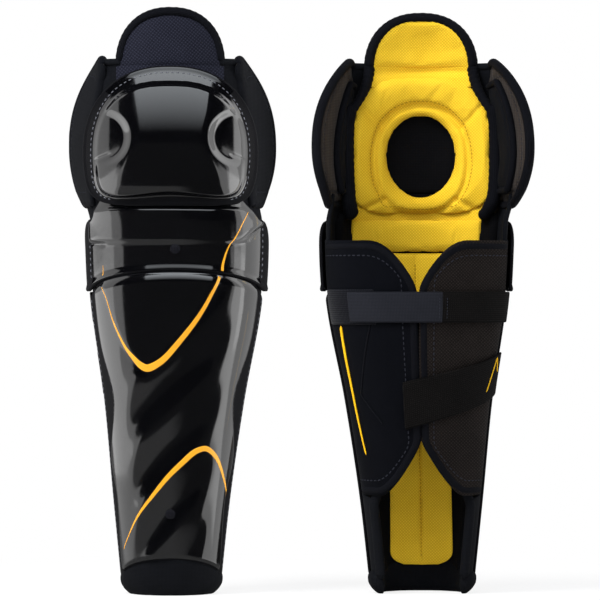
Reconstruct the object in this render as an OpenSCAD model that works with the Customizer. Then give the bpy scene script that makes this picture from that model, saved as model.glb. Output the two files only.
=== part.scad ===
// A pair of ice hockey shin guards of one hand: the first shows its front, the second its back.
// Each guard has hard knee, upper shin and shin shells over foam, a liner, knee wings, a thigh flap
// and two calf wraps that two straps close behind the leg.
// Sizes are in millimetres. In a guard's own frame the leg runs up Z, the shin faces -Y, and +X is on
// the right of someone who looks at the front. Round the leg, an angle of 0 is the front and 180 the back.

/* [Pair] */
// Open space between the wings of the two guards
pair_gap = 29.66; // [25:0.01:60]
// Width of the second guard's spread sides, as a share of the first one's
second_spread = 1.06; // [1:0.01:1.08]

/* [Shin section] */
// Width across the shin at the floor
bottom_w = 84; // [76:1:90]
// Width across the shin at the ankle
ankle_w = 101; // [94:1:108]
// Width across the shin at the calf
calf_w = 121; // [112:1:128]
// Width across the shin below the knee
upper_w = 148; // [140:1:154]
// Width across the shin where the knee cap laps it
top_w = 155; // [148:1:160]
// Depth of the front half at the floor
bottom_front = 45; // [42:1:50]
// Depth of the front half below the knee
top_front = 62; // [58:1:66]
// Depth of the back half at the floor
bottom_back = 34; // [30:1:38]
// Depth of the back half at the calf
calf_back = 52; // [46:1:58]
// Sideways shift of the calf to the outer side of the leg
calf_lean = 4.5; // [0:0.5:6]
// Height of the ankle
ankle_z = 82; // [76:1:90]
// Height of the calf
calf_z = 165; // [155:1:175]
// Height of the section below the knee
upper_z = 250; // [240:1:256]

/* [Shells] */
// Wall of the hard shells
shell_t = 2.6; // [2:0.1:3]
// Rise of a shell's face over its sewn flange
face_rise = 2; // [1:0.1:2.4]
// Angle round the leg where the shin shell ends
shell_edge_angle = 80; // [76:1:84]
// Height of the shin shell's lower edge at the middle
shell_bottom = 32; // [28:1:36]
// Height of the shin shell's upper edge at the middle
shell_top = 272; // [262:1:276]
// Drop of both edges of the shin shell from the middle to the sides
edge_drop = 17; // [12:1:20]
// Open joint between the shin shell and the upper plate
plate_joint = 3; // [2:0.5:4]
// Angle round the leg where the upper plate ends
plate_edge_angle = 97; // [94:1:100]
// Flare of the upper plate's rear corner on the outer side of the leg
plate_flare = 5; // [2:0.5:6]
// Length of the upper plate that is tucked under the knee cap
plate_tuck = 13; // [10:1:16]

/* [Knee cap] */
// Height of the knee cap's lower edge
knee_bottom = 329; // [325:1:335]
// Height of the knee cap
knee_h = 115; // [108:1:120]
// Distance of the knee cap's side edge inside the side of the shin section
knee_inset = 6; // [3.5:0.5:9.5]
// Forward bulge of the knee cap at the middle of its height
knee_bulge = 11; // [6:1:14]
// Width of the sewn flange round the knee cap
knee_flange = 8; // [6:0.5:10]
// Depth of the two round scoops in the knee cap's sides
scoop_depth = 6; // [3:0.5:8]
// Radius of the scoops
scoop_r = 19; // [14:1:21]
// Distance of a scoop's middle from the knee cap's side edge
scoop_inset = 24.5; // [21.5:0.5:29]

/* [Padding] */
// Foam behind the shells
foam_t = 10; // [7:0.5:11]
// Liner on the foam
liner_t = 4; // [3:0.5:5]
// Width of the shin liner at its lower end
liner_w = 50; // [42:1:56]
// Padded knee ring's height off the foam
ring_t = 13; // [9:0.5:14]
// Width of the hole in the knee ring
hole_w = 59; // [50:1:64]
// Height of the hole in the knee ring
hole_h = 69; // [60:1:74]
// Width of the knee ring
ring_w = 80; // [76:1:84]
// Height of the knee ring
ring_h = 96; // [92:1:98]
// Thickness of a side cushion
cushion_t = 12; // [8:0.5:13]
// Distance of a side cushion's outer edge from the knee cap's side edge
cushion_inset = 15.5; // [14.5:0.5:19]
// Height of the liner's band under the knee ring
band_h = 30; // [24:1:34]

/* [Thigh flap] */
// Height of the flap above the knee cap
flap_h = 51; // [44:1:56]
// Width of the flap
flap_w = 92; // [84:1:96]
// Thickness of the padded flap
flap_t = 9; // [6:0.5:10]
// Radius of the flap's rolled hem
hem_r = 4; // [3:0.5:5]

/* [Knee wings] */
// Distance that a wing stands out past the side of the shin section
wing_proud = 11.5; // [9:0.5:14]
// Height of a wing
wing_h = 122; // [116:1:128]
// Rise of a wing's upper edge from its front to its rear
wing_slope = 7; // [4:1:12]
// Reach of a wing behind the knee cap's edge
wing_reach = 66; // [56:1:70]
// Thickness of a wing's outer pad
wing_t = 8; // [6:0.5:9]
// Thickness of a wing's inner pad
wing_pad_t = 7; // [5:0.5:8]
// Share of a wing's reach at which the left inner pad ends
pad_left_share = 0.7; // [0.6:0.02:0.76]
// Share of a wing's reach at which the right inner pad ends
pad_right_share = 0.46; // [0.4:0.02:0.6]

/* [Wraps and straps] */
// Thickness of a calf wrap
wrap_t = 5; // [3:0.5:5.5]
// Half of the gap between the two wraps at the back
wrap_gap = 3; // [2:0.5:8]
// Height of the wraps' lower edge at the back
wrap_bottom = 139; // [130:1:145]
// Height of the wraps' upper edge at the back
wrap_top = 255; // [250:1:262]
// Thickness of the straps
strap_t = 2; // [1.2:0.1:2.6]
// Width of the upper strap
upper_strap_w = 24; // [20:1:30]
// Height of the upper strap's middle
upper_strap_z = 243; // [238:1:246]
// Width of the lower strap
lower_strap_w = 38; // [30:1:42]
// Height of the middle of the lower strap's free end
lower_strap_z = 160; // [156:1:164]
// Climb of the lower strap from its free end to its sewn end
lower_strap_climb = 27; // [18:1:30]
// Radius of the wrap's corded seam
piping_r = 1; // [0.8:0.1:1.4]

/* [Fasteners] */
// Radius of a rivet's head
rivet_r = 4; // [3:0.5:5]
// Height of a rivet's head
rivet_head = 1; // [0.6:0.1:1.4]

/* [Hidden] */
// Clearance between pieces that move past each other
gap = 0.4;
// Clearance between layers that are sewn or glued together
seam = 0.5;
$fn = 32;

PIECES = ["shin_shell", "upper_shin_plate", "shell_rivets", "shin_foam", "shin_liner", "liner_band",
    "ankle_bolster", "side_gussets", "knee_cap", "knee_foam", "knee_ring", "knee_side_cushions",
    "knee_brow", "thigh_flap", "thigh_flap_hem", "thigh_liner", "wing_left", "wing_right",
    "wing_pad_left", "wing_pad_right", "wing_tab", "calf_wrap_left", "calf_wrap_right",
    "wrap_piping", "loop_patch", "upper_strap", "upper_strap_tab", "lower_strap", "lower_strap_hook"];
GUARDS = [1, 2];
NODES = [for (g = GUARDS) for (p = PIECES) str(p, "_", g)];
node = "all";

// Widths that follow from the sizes above
knee_w = top_w - 2 * knee_inset;
wing_w = top_w + 2 * wing_proud;
scoop_x = knee_w / 2 - scoop_inset;
leaf_w = knee_w / 2 - cushion_inset - ring_w / 2;
pair_spacing = wing_w / 2 * (1 + second_spread) + pair_gap;

// Heights that follow from the sizes above
knee_top = knee_bottom + knee_h;
flap_fold = knee_top + 0.2;
flap_top = flap_fold + flap_h;
plate_top = knee_bottom + plate_tuck;
knee_middle = knee_bottom + 0.37 * knee_h;
wing_bottom = knee_bottom + 1;
wing_top = wing_bottom + wing_h;
band_top = knee_bottom - 10;
band_bottom = band_top - band_h;
ring_middle = knee_bottom - 8 + ring_h / 2;

// Layers, as offsets from the outside of the shin section
foam_out = -shell_t - seam;
foam_in = foam_out - foam_t;
liner_out = foam_in - seam;
liner_in = liner_out - liner_t;
wrap_out = foam_out;
wrap_in = wrap_out - wrap_t;
patch_out = wrap_out + 1.4;
strap_in = patch_out + gap;
strap_out = strap_in + strap_t;

// Angles round the leg
foam_edge_angle = 66;
gusset_edge_angle = 95;
ankle_edge_angle = 112;
gusset_foot_angle = 120;
wrap_edge_angle = 96;
strap_end_angle = 262;

// A smooth curve through [position, value] stations, level beyond its ends
function slope(s, i) =
    let (a = max(0, i - 1), b = min(len(s) - 1, i + 1))
    (s[b][1] - s[a][1]) / (s[b][0] - s[a][0]);
function through(s, p) =
    let (last = len(s) - 1)
    p <= s[0][0] ? s[0][1] :
    p >= s[last][0] ? s[last][1] :
    let (
        i = max([for (k = [0 : last - 1]) if (p >= s[k][0]) k]),
        w = s[i + 1][0] - s[i][0],
        t = (p - s[i][0]) / w,
        back = t * t * (3 - 2 * t)
    )
    s[i][1] * (1 - back) + s[i + 1][1] * back
    + w * t * (1 - t) * (slope(s, i) * (1 - t) - slope(s, i + 1) * t);
function mix(a, b, t) = a + (b - a) * t;
function ease(t) = let (c = max(0, min(1, t))) c * c * (3 - 2 * c);
function steps(n) = [for (k = [0 : n]) k / n];

// The shin section: half an ellipse in front of the leg and half behind it
function half_w(z) = through([[0, bottom_w / 2], [ankle_z, ankle_w / 2], [calf_z, calf_w / 2],
    [upper_z, upper_w / 2], [knee_bottom, top_w / 2]], z);
function front_d(z) = through([[0, bottom_front], [knee_bottom, top_front]], z);
function back_d(z) = through([[0, bottom_back], [calf_z, calf_back], [knee_bottom, calf_back]], z);
function leg(phi, z, off) =
    let (b = cos(phi) >= 0 ? front_d(z) : back_d(z))
    [(half_w(z) + off) * sin(phi), -(b + off) * cos(phi), z];

// A guard leans outwards at the calf, stands left or right of the middle of the pair, and the second
// one is turned round
function lean(z) = calf_lean * through([[0, 0], [ankle_z, 0.1], [calf_z, 0.6], [upper_z, 1],
    [knee_bottom - 14, 0.9], [knee_bottom, 0.3], [plate_top, 0]], z);
function spread(g) = g == 1 ? 1 : second_spread;
function middle_x(g) =
    (g == 1 ? -pair_spacing : pair_spacing) / 2 + wing_w / 4 * (1 - second_spread);
function put(g, p) =
    let (c = g == 1 ? 1 : -1)
    [middle_x(g) + c * spread(g) * (p.x + lean(p.z)), c * p.y, p.z];

// A sheet between an outer and an inner surface. Each surface is a function of u, which runs to the
// right as seen from outside, and of v, which runs up. A side of -1 mirrors it to the left.
module skin(g, outer, inner, us, vs, side = 1) {
    cols = len(us);
    layer = cols * len(vs);
    points = [for (f = [outer, inner]) for (v = vs) for (u = us)
        let (p = f(u, v)) put(g, [side * p.x, p.y, p.z])];
    function at(k, j) = j * cols + k;
    function quad(a, b, c, d) = [[a, b, c], [a, c, d]];
    last_k = cols - 1;
    last_j = len(vs) - 1;
    sheet = [for (j = [0 : last_j - 1]) for (k = [0 : last_k - 1])
        each quad(at(k, j), at(k, j + 1), at(k + 1, j + 1), at(k + 1, j))];
    back = [for (f = sheet) [f[2] + layer, f[1] + layer, f[0] + layer]];
    rim = concat([for (k = [0 : last_k]) at(k, last_j)], [for (j = [last_j - 1 : -1 : 0]) at(last_k, j)],
        [for (k = [last_k - 1 : -1 : 0]) at(k, 0)], [for (j = [1 : last_j - 1]) at(0, j)]);
    n = len(rim);
    wall = [for (i = [0 : n - 1])
        let (a = rim[i], b = rim[(i + 1) % n])
        each quad(a, a + layer, b + layer, b)];
    faces = concat(sheet, back, wall);
    polyhedron(points, side > 0 ? faces : [for (f = faces) [f[2], f[1], f[0]]]);
}

// A round tube along a path of points, with flat ends
module tube(g, path, r, sides = 8) {
    n = len(path);
    points = [for (k = [0 : n - 1])
        let (
            ahead = path[min(n - 1, k + 1)] - path[max(0, k - 1)],
            t = ahead / norm(ahead),
            a = cross(t, [0, 1, 0]),
            e = a / norm(a),
            f = cross(t, e)
        )
        for (i = [0 : sides - 1])
            let (turn = 360 * i / sides)
            put(g, path[k] + r * (cos(turn) * e + sin(turn) * f))];
    wall = [for (k = [0 : n - 2]) for (i = [0 : sides - 1])
        let (a = k * sides + i, b = k * sides + (i + 1) % sides)
        each [[a, a + sides, b + sides], [a, b + sides, b]]];
    ends = [[for (i = [0 : sides - 1]) i], [for (i = [sides - 1 : -1 : 0]) (n - 1) * sides + i]];
    polyhedron(points, concat(wall, ends));
}

// Shin shell: a sewn flange, a step and a raised face that narrows at the calf and the ankle
function face_edge(z) = through([[shell_bottom, 65], [ankle_z, 62], [ankle_z + 33, 68], [calf_z, 55],
    [upper_z - 40, 65], [upper_z, 66]], z);
function shell_phi(u, z) =
    let (b = abs(u), f = face_edge(z))
    sign(u) * (b <= 1 ? b * (f - 2)
        : b <= 2 ? mix(f - 2, f + 2, b - 1)
        : mix(f + 2, shell_edge_angle, b - 2));
function edge_z(middle, phi) = middle - edge_drop * pow(phi / shell_edge_angle, 2);
function shell_z(u, v) =
    let (share = shell_phi(u, mix(shell_bottom, shell_top, v)))
    mix(edge_z(shell_bottom, share), edge_z(shell_top, share), v);
function shell_at(u, v, off) =
    let (z = shell_z(u, v))
    leg(shell_phi(u, z), z, off + face_rise * max(0, min(1, 2 - abs(u))));
module shin_shell(g) {
    us = [-3, -2.5, -2, for (k = [-5 : 5]) k / 5, 2, 2.5, 3];
    color("#0b0b0e") skin(g,
        function(u, v) shell_at(u, v, 0),
        function(u, v) shell_at(u, v, -shell_t),
        us, steps(13));
}

// Upper shin plate: spans from the shin shell's joint to under the knee cap, with flared rear corners
function plate_phi(u) = u * (u > 0 ? plate_edge_angle : plate_edge_angle - 6);
function plate_z(u, v) =
    let (
        phi = abs(plate_phi(u)),
        low = edge_z(shell_top, min(phi, shell_edge_angle)) + plate_joint,
        high = mix(plate_top, knee_bottom - 14, ease((phi - 42) / 24))
    )
    mix(low, high, v);
function plate_at(u, v, off) =
    let (
        z = plate_z(u, v),
        phi = plate_phi(u),
        roll = face_rise * ease(1 - abs(abs(phi) - 35) / 40) * ease((knee_bottom - 14 - z) / 14),
        tuck = 5 * ease((z - knee_bottom + 1) / (plate_tuck + 1)),
        flare = plate_flare * ease((phi - 66) / (plate_edge_angle - 66))
    )
    leg(phi, z, off + roll - tuck + flare);
module upper_shin_plate(g) {
    color("#0b0b0e") skin(g,
        function(u, v) plate_at(u, v, 0),
        function(u, v) plate_at(u, v, -shell_t),
        [for (k = [-9 : 9]) k / 9], steps(5));
}

// Rivets hold the two shin shells to the foam; each shows its domed head
module rivet(g, z, off) {
    p = put(g, leg(0, z, off + seam / 2));
    translate(p) rotate([g == 1 ? 90 : -90, 0, 0]) intersection() {
        cylinder(r = rivet_r, h = rivet_head);
        translate([0, 0, rivet_head - 2 * rivet_r]) sphere(r = 2 * rivet_r);
    }
}
module shell_rivets(g) {
    color("#17171b") {
        rivet(g, mix(shell_bottom, shell_top, 0.155), face_rise);
        rivet(g, mix(shell_top, knee_bottom, 0.35), face_rise / 2);
    }
}

// Foam behind the shin shells, from the bolster to below the knee cap
module shin_foam(g) {
    function foam(u, v, off) =
        let (phi = u * foam_edge_angle)
        leg(phi, mix(edge_z(shell_bottom, phi), band_top, v), off);
    color("#1c1c1f") skin(g,
        function(u, v) foam(u, v, foam_out),
        function(u, v) foam(u, v, foam_in),
        [for (k = [-6 : 6]) k / 6], steps(8));
}

// A crowned pad's fullness: none at its rim, all of it over the middle
function crown(u, v) = pow(max(0, (1 - u * u) * (1 - pow(2 * v - 1, 6))), 0.35);

// Shin liner: a long padded strip with a seam down its middle
module shin_liner(g) {
    low = shell_bottom - 9;
    high = band_bottom - seam;
    function half_angle(z) = mix(asin(liner_w / 2 / (half_w(z) + liner_in)), 54, ease((z - 90) / 120));
    function lie(u, v, off) =
        let (z = mix(low, high, v))
        leg(u * half_angle(z), z, off);
    function full(u, v) = 0.35 + 0.65 * crown(u, v) - 0.3 * max(0, 1 - abs(u) / 0.1);
    color("#d9ae23") skin(g,
        function(u, v) lie(u, v, liner_out),
        function(u, v) lie(u, v, liner_out - liner_t * full(u, v)),
        [-1, -0.85, -0.6, -0.35, -0.12, 0, 0.12, 0.35, 0.6, 0.85, 1], steps(9));
}

// Liner band: the padded roll under the knee ring
module liner_band(g) {
    function lie(u, v, off) =
        let (z = mix(band_bottom, band_top, v))
        leg(u * 56, z, off);
    color("#e2b722") skin(g,
        function(u, v) lie(u, v, liner_out - 0.1),
        function(u, v) lie(u, v, liner_out - liner_t * (0.3 + 0.9 * crown(u, v))),
        [-1, -0.85, -0.6, -0.4, -0.2, 0, 0.2, 0.4, 0.6, 0.85, 1], [0, 0.12, 0.5, 0.88, 1]);
}

// Ankle bolster: the padded rim that the guard stands on
module ankle_bolster(g) {
    function top(phi) = edge_z(shell_bottom, min(abs(phi), shell_edge_angle)) - seam;
    function rim(u, v, off, round) =
        let (phi = u * ankle_edge_angle)
        leg(phi, v * top(phi), off + round * pow(1 - v, 3));
    color("#101013") skin(g,
        function(u, v) rim(u, v, 0.5, -6),
        function(u, v) rim(u, v, foam_in, 2),
        [for (k = [-10 : 10]) k / 10], [0, 0.15, 0.4, 0.7, 1]);
}

// Side gussets: fabric panels under the shell's flange, out to the wraps and down to the ankle
module side_gussets(g) {
    low = edge_z(shell_bottom, shell_edge_angle);
    high = band_top - 20;
    foot = (ankle_z - 7 - low) / (high - low);
    neck = (ankle_z - 2 - low) / (high - low);
    rows = concat([for (k = [0:4]) foot * k / 4], [for (k = [0:9]) mix(neck, 1, k / 9)]);
    function last(z) = mix(gusset_foot_angle, gusset_edge_angle, ease((z - ankle_z + 7) / 5));
    function panel(u, v, off) =
        let (
            rough = mix(foam_edge_angle + 1, last(mix(low, high, v)), u),
            z = mix(edge_z(shell_bottom, min(rough, shell_edge_angle)), high, v)
        )
        leg(mix(foam_edge_angle + 1, last(z), u), z, off);
    for (side = [-1, 1])
        color("#141418") skin(g,
            function(u, v) panel(u, v, foam_out),
            function(u, v) panel(u, v, wrap_in),
            steps(4), rows, side);
}

// Knee wall: the round form that the knee cap, its foam and its ring all follow
function knee_a(z) = top_w / 2 + shell_t + gap / 2;
function knee_b(z) =
    let (t = (z - knee_bottom) / knee_h)
    top_front + shell_t + gap / 2 + knee_bulge * sin(180 * max(0, min(1, 0.87 * t))) - 8 * pow(max(0, t), 3);
function knee(phi, z, off) = [(knee_a(z) + off) * sin(phi), -(knee_b(z) + off) * cos(phi), z];
function knee_y(x, z, off) = -(knee_b(z) + off) * sqrt(max(0, 1 - pow(x / (knee_a(z) + off), 2)));

// Knee cap outline: a rounded arch over a slightly narrowing foot
function knee_half(z) =
    let (d = z - knee_middle)
    knee_w / 2 * (d >= 0
        ? pow(max(0, 1 - pow(d / (knee_top + 0.6 - knee_middle), 2.3)), 1 / 2.3)
        : 1 - 0.1 * pow(d / (knee_middle - knee_bottom), 2));
function knee_row(v) = mix(knee_bottom, knee_top, 1 - pow(1 - v, 1.5));
function scoop(x, z) =
    let (d = norm([abs(x) - scoop_x, (z - knee_middle - 8) * 0.8]) / scoop_r)
    scoop_depth * exp(-d * d * d);
function knee_at(u, v, off) =
    let (
        z = knee_row(v),
        half = knee_half(z),
        inner = max(0.2 * half, half - knee_flange),
        b = abs(u),
        x = sign(u) * (b <= 1 ? b * inner : mix(inner, half, b - 1)),
        phi = asin(x / (knee_a(z) + off)),
        rim = min((z - knee_bottom) / knee_flange, (knee_top - z) / (1.5 * knee_flange)),
        rise = b > 1 ? 0 : min(ease(1.2 * rim), ease((1 - b) * 6 + 0.15))
    )
    knee(phi, z, off + (face_rise + 1) * rise - scoop(x, z) * rise);
module knee_cap(g) {
    us = [-2, -1, -0.93, -0.8, -0.66, -0.5, -0.33, 0, 0.33, 0.5, 0.66, 0.8, 0.93, 1, 2];
    color("#0b0b0e") skin(g,
        function(u, v) knee_at(u, v, 0),
        function(u, v) knee_at(u, v, -shell_t),
        us, [0, 0.05, 0.1, 0.2, 0.3, 0.4, 0.5, 0.6, 0.72, 0.84, 0.93, 1]);
}

// Knee foam: the cup inside the knee cap
knee_foam_out = -shell_t - scoop_depth + 1.5;
knee_foam_in = knee_foam_out - foam_t + 1;
knee_foam_low = plate_top + 2;
knee_foam_high = knee_top - 4;
knee_pad_seat = knee_foam_in - 2 * seam;
module knee_foam(g) {
    function lie(u, v, off) =
        let (
            z = mix(knee_foam_low, knee_foam_high, v),
            half = min(knee_w / 2 - foam_t - 3.5, knee_half(z) - foam_t)
        )
        knee(asin(u * half / (knee_a(z) + off)), z, off);
    color("#08080a") skin(g,
        function(u, v) lie(u, v, knee_foam_out),
        function(u, v) lie(u, v, knee_foam_in),
        [for (k = [-6 : 6]) k / 6], steps(8));
}

// Knee ring: a closed padded ring on the knee foam, round the hole for the kneecap
module knee_ring(g) {
    n = 28;
    section = [[0, 0], [0, 0.6], [0.3, 1], [0.65, 0.92], [1, 0.45], [1, 0]];
    m = len(section);
    function arch(a, b, t, e) = 1 / pow(pow(abs(cos(t)) / a, e) + pow(abs(sin(t)) / b, e), 1 / e);
    function on_ring(t, q, h) =
        let (
            r = mix(arch(hole_w / 2, hole_h / 2, t, 2.1), arch(ring_w / 2, ring_h / 2, t, 3.2), q),
            x = r * cos(t),
            z = ring_middle + r * sin(t)
        )
        [x, knee_y(x, z, knee_pad_seat) + h * ring_t, z];
    points = [for (k = [0 : n - 1]) for (s = section) put(g, on_ring(360 * k / n, s[0], s[1]))];
    faces = [for (k = [0 : n - 1]) for (j = [0 : m - 1])
        let (
            a = k * m + j,
            b = k * m + (j + 1) % m,
            c = ((k + 1) % n) * m + (j + 1) % m,
            d = ((k + 1) % n) * m + j
        )
        each [[a, b, c], [a, c, d]]];
    color("#e8bd26") polyhedron(points, faces);
}

// Side cushions: two leaf-shaped pads between the knee ring and the wings
module knee_side_cushions(g) {
    low = knee_bottom - 4;
    high = ring_middle + ring_h / 2 - 1;
    function lie(u, v, off) =
        let (
            z = mix(low, high, v),
            leaf = 0.25 + 0.75 * sqrt(max(0, 1 - pow(abs(2 * v - 1), 2.4))),
            x = ring_w / 2 + 1 + (u + 1) / 2 * (leaf_w - 1) * leaf
        )
        [x, knee_y(x, z, knee_pad_seat) + off, z];
    for (side = [-1, 1])
        color("#f0c62e") skin(g,
            function(u, v) lie(u, v, 0),
            function(u, v) lie(u, v, cushion_t * (0.25 + 0.75 * crown(u, v))),
            [-1, -0.8, 0, 0.8, 1], steps(8), side);
}

// Knee brow: the padded band between the knee ring and the flap's fold
module knee_brow(g) {
    low = ring_middle + ring_h / 2 + seam;
    high = flap_fold - 4;
    function lie(u, v, off) =
        let (z = mix(low, high, v), x = u * (flap_w / 2 - 2))
        [x, knee_y(x, min(z, knee_foam_high), knee_pad_seat - seam) + off, z];
    color("#e8bd26") skin(g,
        function(u, v) lie(u, v, 0),
        function(u, v) lie(u, v, 8 * (0.3 + 0.7 * crown(u, v))),
        [-1, -0.85, -0.57, -0.28, 0, 0.28, 0.57, 0.85, 1], [0, 0.15, 0.5, 0.85, 1]);
}

// Thigh flap: a curved padded board that folds on a line above the knee cap
flap_front = knee_y(0, knee_foam_high, -shell_t) + 1;
flap_bevel = 0.45;
function flap_half(t, inset) =
    (flap_w / 2 - inset) * pow(max(0, 1 - pow(t, 2.3)), 1 / 2.3);
function flap_y(x, t) = flap_front + 16 * pow(x / (flap_w / 2), 2) + 12 * t * t;
function flap_at(u, v, depth) =
    let (
        t = mix(0, 0.97, v),
        x = u * flap_half(t, 2 * hem_r + 2 * seam),
        z = flap_fold + gap + t * (flap_h - 2 * hem_r - 2 * seam)
    )
    [x, flap_y(x, t) + depth, z + flap_bevel * depth * (1 - v)];
module thigh_flap(g) {
    color("#1a1b22") skin(g,
        function(u, v) flap_at(u, v, 0),
        function(u, v) flap_at(u, v, flap_t),
        [-1, -0.8, -0.5, -0.2, 0.2, 0.5, 0.8, 1], [0, 0.2, 0.4, 0.6, 0.75, 0.9, 1]);
}

// Rolled hem round the flap's sides and top
module thigh_flap_hem(g) {
    n = 24;
    path = [for (k = [0 : n])
        let (
            a = mix(176, 4, k / n),
            x = sign(cos(a)) * (flap_w / 2 - hem_r) * pow(abs(cos(a)), 2 / 2.3),
            t = pow(sin(a), 2 / 2.3)
        )
        [x, flap_y(x, t) + flap_t / 2, flap_fold + t * (flap_h - hem_r)]];
    color("#121319") tube(g, path, hem_r);
}

// Thigh liner: the padded inner face of the flap
module thigh_liner(g) {
    function lie(u, v, off) = flap_at(u * 0.94, v * 0.96, flap_t + 1.5 * seam + off);
    color("#ecc12b") skin(g,
        function(u, v) lie(u, v, 0),
        function(u, v) lie(u, v, liner_t * (0.35 + 0.65 * crown(u, v))),
        [-1, -0.85, -0.5, 0, 0.5, 0.85, 1], [0, 0.12, 0.4, 0.7, 0.9, 1]);
}

// Knee wings: padded leaves that start under the knee cap's edge and reach back past the knee
function wing_front_x(z) = through([[wing_bottom, knee_w / 2 - 3], [knee_middle, knee_w / 2 - 2],
    [knee_top - 24, knee_w / 2 - 9], [wing_top, knee_w / 2 - 14]], z);
function wing_front_y(z) = knee_y(wing_front_x(z), max(knee_bottom, min(z, knee_top - 10)), -shell_t - 1);
function wing_length(v) = wing_reach * (0.3 + 0.7 * pow(max(0, 1 - pow(abs(2 * v - 0.98), 3)), 0.55));
function wing_out_x(z) =
    let (d = z - knee_middle - 6)
    wing_w / 2 * (d >= 0 ? 1 - 0.3 * pow(d / (wing_top - knee_middle - 6), 2.4)
        : 1 - 0.13 * pow(d / (knee_middle + 6 - wing_bottom), 2));
function wing_at(s, v, depth) =
    let (
        z = mix(wing_bottom, wing_top - wing_slope * pow(1 - s, 2), v),
        x = mix(wing_front_x(z), wing_out_x(z), pow(s, 0.85))
    )
    [x - depth, wing_front_y(z) + s * wing_length(v) * 0.94, z];
module wing(g, side) {
    color("#1b1b21") skin(g,
        function(u, v) wing_at(u, v, 0),
        function(u, v) wing_at(u, v, wing_t),
        [0, 0.12, 0.35, 0.6, 0.85, 1], steps(10), side);
}
module wing_left(g) { wing(g, -1); }
module wing_right(g) { wing(g, 1); }

// Inner wing pads: a second, smaller leaf on the inside of each wing
module wing_pad(g, side) {
    last = side > 0 ? pad_right_share : pad_left_share;
    function lie(s, v, h) =
        wing_at(mix(0.2, last, s), mix(0.1, 0.86, v), wing_t + seam + wing_pad_t * h);
    color("#141416") skin(g,
        function(u, v) lie(u, v, 0),
        function(u, v) lie(u, v, 0.3 + 0.7 * crown(2 * u - 1, v)),
        [0, 0.1, 0.5, 0.9, 1], steps(8), side);
}
module wing_pad_left(g) { wing_pad(g, -1); }
module wing_pad_right(g) { wing_pad(g, 1); }

// A small folded tab sewn to the rear edge of the left wing
module wing_tab(g) {
    function lie(u, v, off) =
        let (p = wing_at(1, mix(0.27, 0.43, v), wing_t / 2 + off))
        p + [0, seam + 0.2 + 6 * u, 0];
    color("#101012") skin(g,
        function(u, v) lie(u, v, -0.5),
        function(u, v) lie(u, v, 0.5),
        [0, 1], steps(4), -1);
}

// Calf wraps: padded panels that close behind the calf, cut back at the top and the bottom
function wrap_last(z) = 180 - asin(wrap_gap / (half_w(z) + wrap_out));
function wrap_z(s, v) =
    let (
        low = mix(ankle_z + 4, wrap_bottom - 8, pow(max(0, s - 0.45) / 0.55, 1.8)),
        high = mix(band_top - 22, wrap_top, pow(max(0, s - 0.58) / 0.42, 2.4))
    )
    mix(low, high, v);
function wrap_at(s, v, off) =
    let (z = wrap_z(s, v))
    leg(mix(wrap_edge_angle, wrap_last(z), s), z, off);
module calf_wrap(g, side) {
    skin(g,
        function(u, v) wrap_at(u, v, wrap_out),
        function(u, v) wrap_at(u, v, wrap_in),
        steps(12), steps(7), side);
}
module calf_wrap_left(g) { color("#1d1b1a") calf_wrap(g, -1); }
module calf_wrap_right(g) { color("#0d0d11") calf_wrap(g, 1); }

// Corded seam on the right wrap
module wrap_piping(g) {
    path = [for (k = [0 : 12])
        let (
            t = k / 12,
            phi = 117 + 6 * pow(t, 2) - 10 * t * (1 - t),
            z = mix(upper_strap_z - upper_strap_w * 2 / 3, wrap_bottom - 21, t)
        )
        leg(phi, z, wrap_out + piping_r + seam)];
    color("#f2c11d") tube(g, path, piping_r, 6);
}

// Loop patch on the right wrap, for the upper strap's hook tab
module loop_patch(g) {
    function lie(u, v, off) =
        leg(mix(100, 150, u), upper_strap_z + (v - 0.5) * (upper_strap_w + 4), off);
    color("#101014") skin(g,
        function(u, v) lie(u, v, patch_out),
        function(u, v) lie(u, v, wrap_out + seam),
        steps(8), [0, 1]);
}

// Upper strap: an elastic end sewn to the left wrap, and a hook tab that closes on the right one
strap_split_angle = 195;
strap_tab_angle = 132;
function upper_strap_at(phi, v, off) = leg(phi, upper_strap_z + (v - 0.5) * upper_strap_w, off);
module upper_strap(g) {
    color("#19181a") skin(g,
        function(u, v) upper_strap_at(mix(strap_split_angle + 0.2, strap_end_angle, u), v, strap_out),
        function(u, v) upper_strap_at(mix(strap_split_angle + 0.2, strap_end_angle, u), v, strap_in),
        steps(8), [0, 1]);
}
module upper_strap_tab(g) {
    color("#292b33") skin(g,
        function(u, v) upper_strap_at(mix(strap_tab_angle, strap_split_angle, u), v, strap_out),
        function(u, v) upper_strap_at(mix(strap_tab_angle, strap_split_angle, u), v, strap_in),
        steps(10), [0, 1]);
}

// Lower strap: climbs from its free end at the middle of the back to its sewn end on the left wrap
lower_strap_start_angle = 168;
function lower_strap_at(phi, v, off) =
    let (
        t = (phi - lower_strap_start_angle) / (strap_end_angle - lower_strap_start_angle),
        wide = mix(lower_strap_w, lower_strap_w - 4, t)
    )
    leg(phi, lower_strap_z + lower_strap_climb * t + (v - 0.5) * wide, off);
module lower_strap(g) {
    color("#121113") skin(g,
        function(u, v) lower_strap_at(mix(lower_strap_start_angle, strap_end_angle, u), v, strap_out),
        function(u, v) lower_strap_at(mix(lower_strap_start_angle, strap_end_angle, u), v, strap_in),
        steps(12), steps(2));
}

// Hook pad under the lower strap's free end
module lower_strap_hook(g) {
    function lie(u, v, off) =
        lower_strap_at(mix(lower_strap_start_angle, strap_end_angle, u / 6), mix(0.08, 0.92, v), off);
    color("#0c0c0e") skin(g,
        function(u, v) lie(u, v, strap_in - 0.05),
        function(u, v) lie(u, v, wrap_out + gap),
        steps(2), [0, 1]);
}

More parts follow.
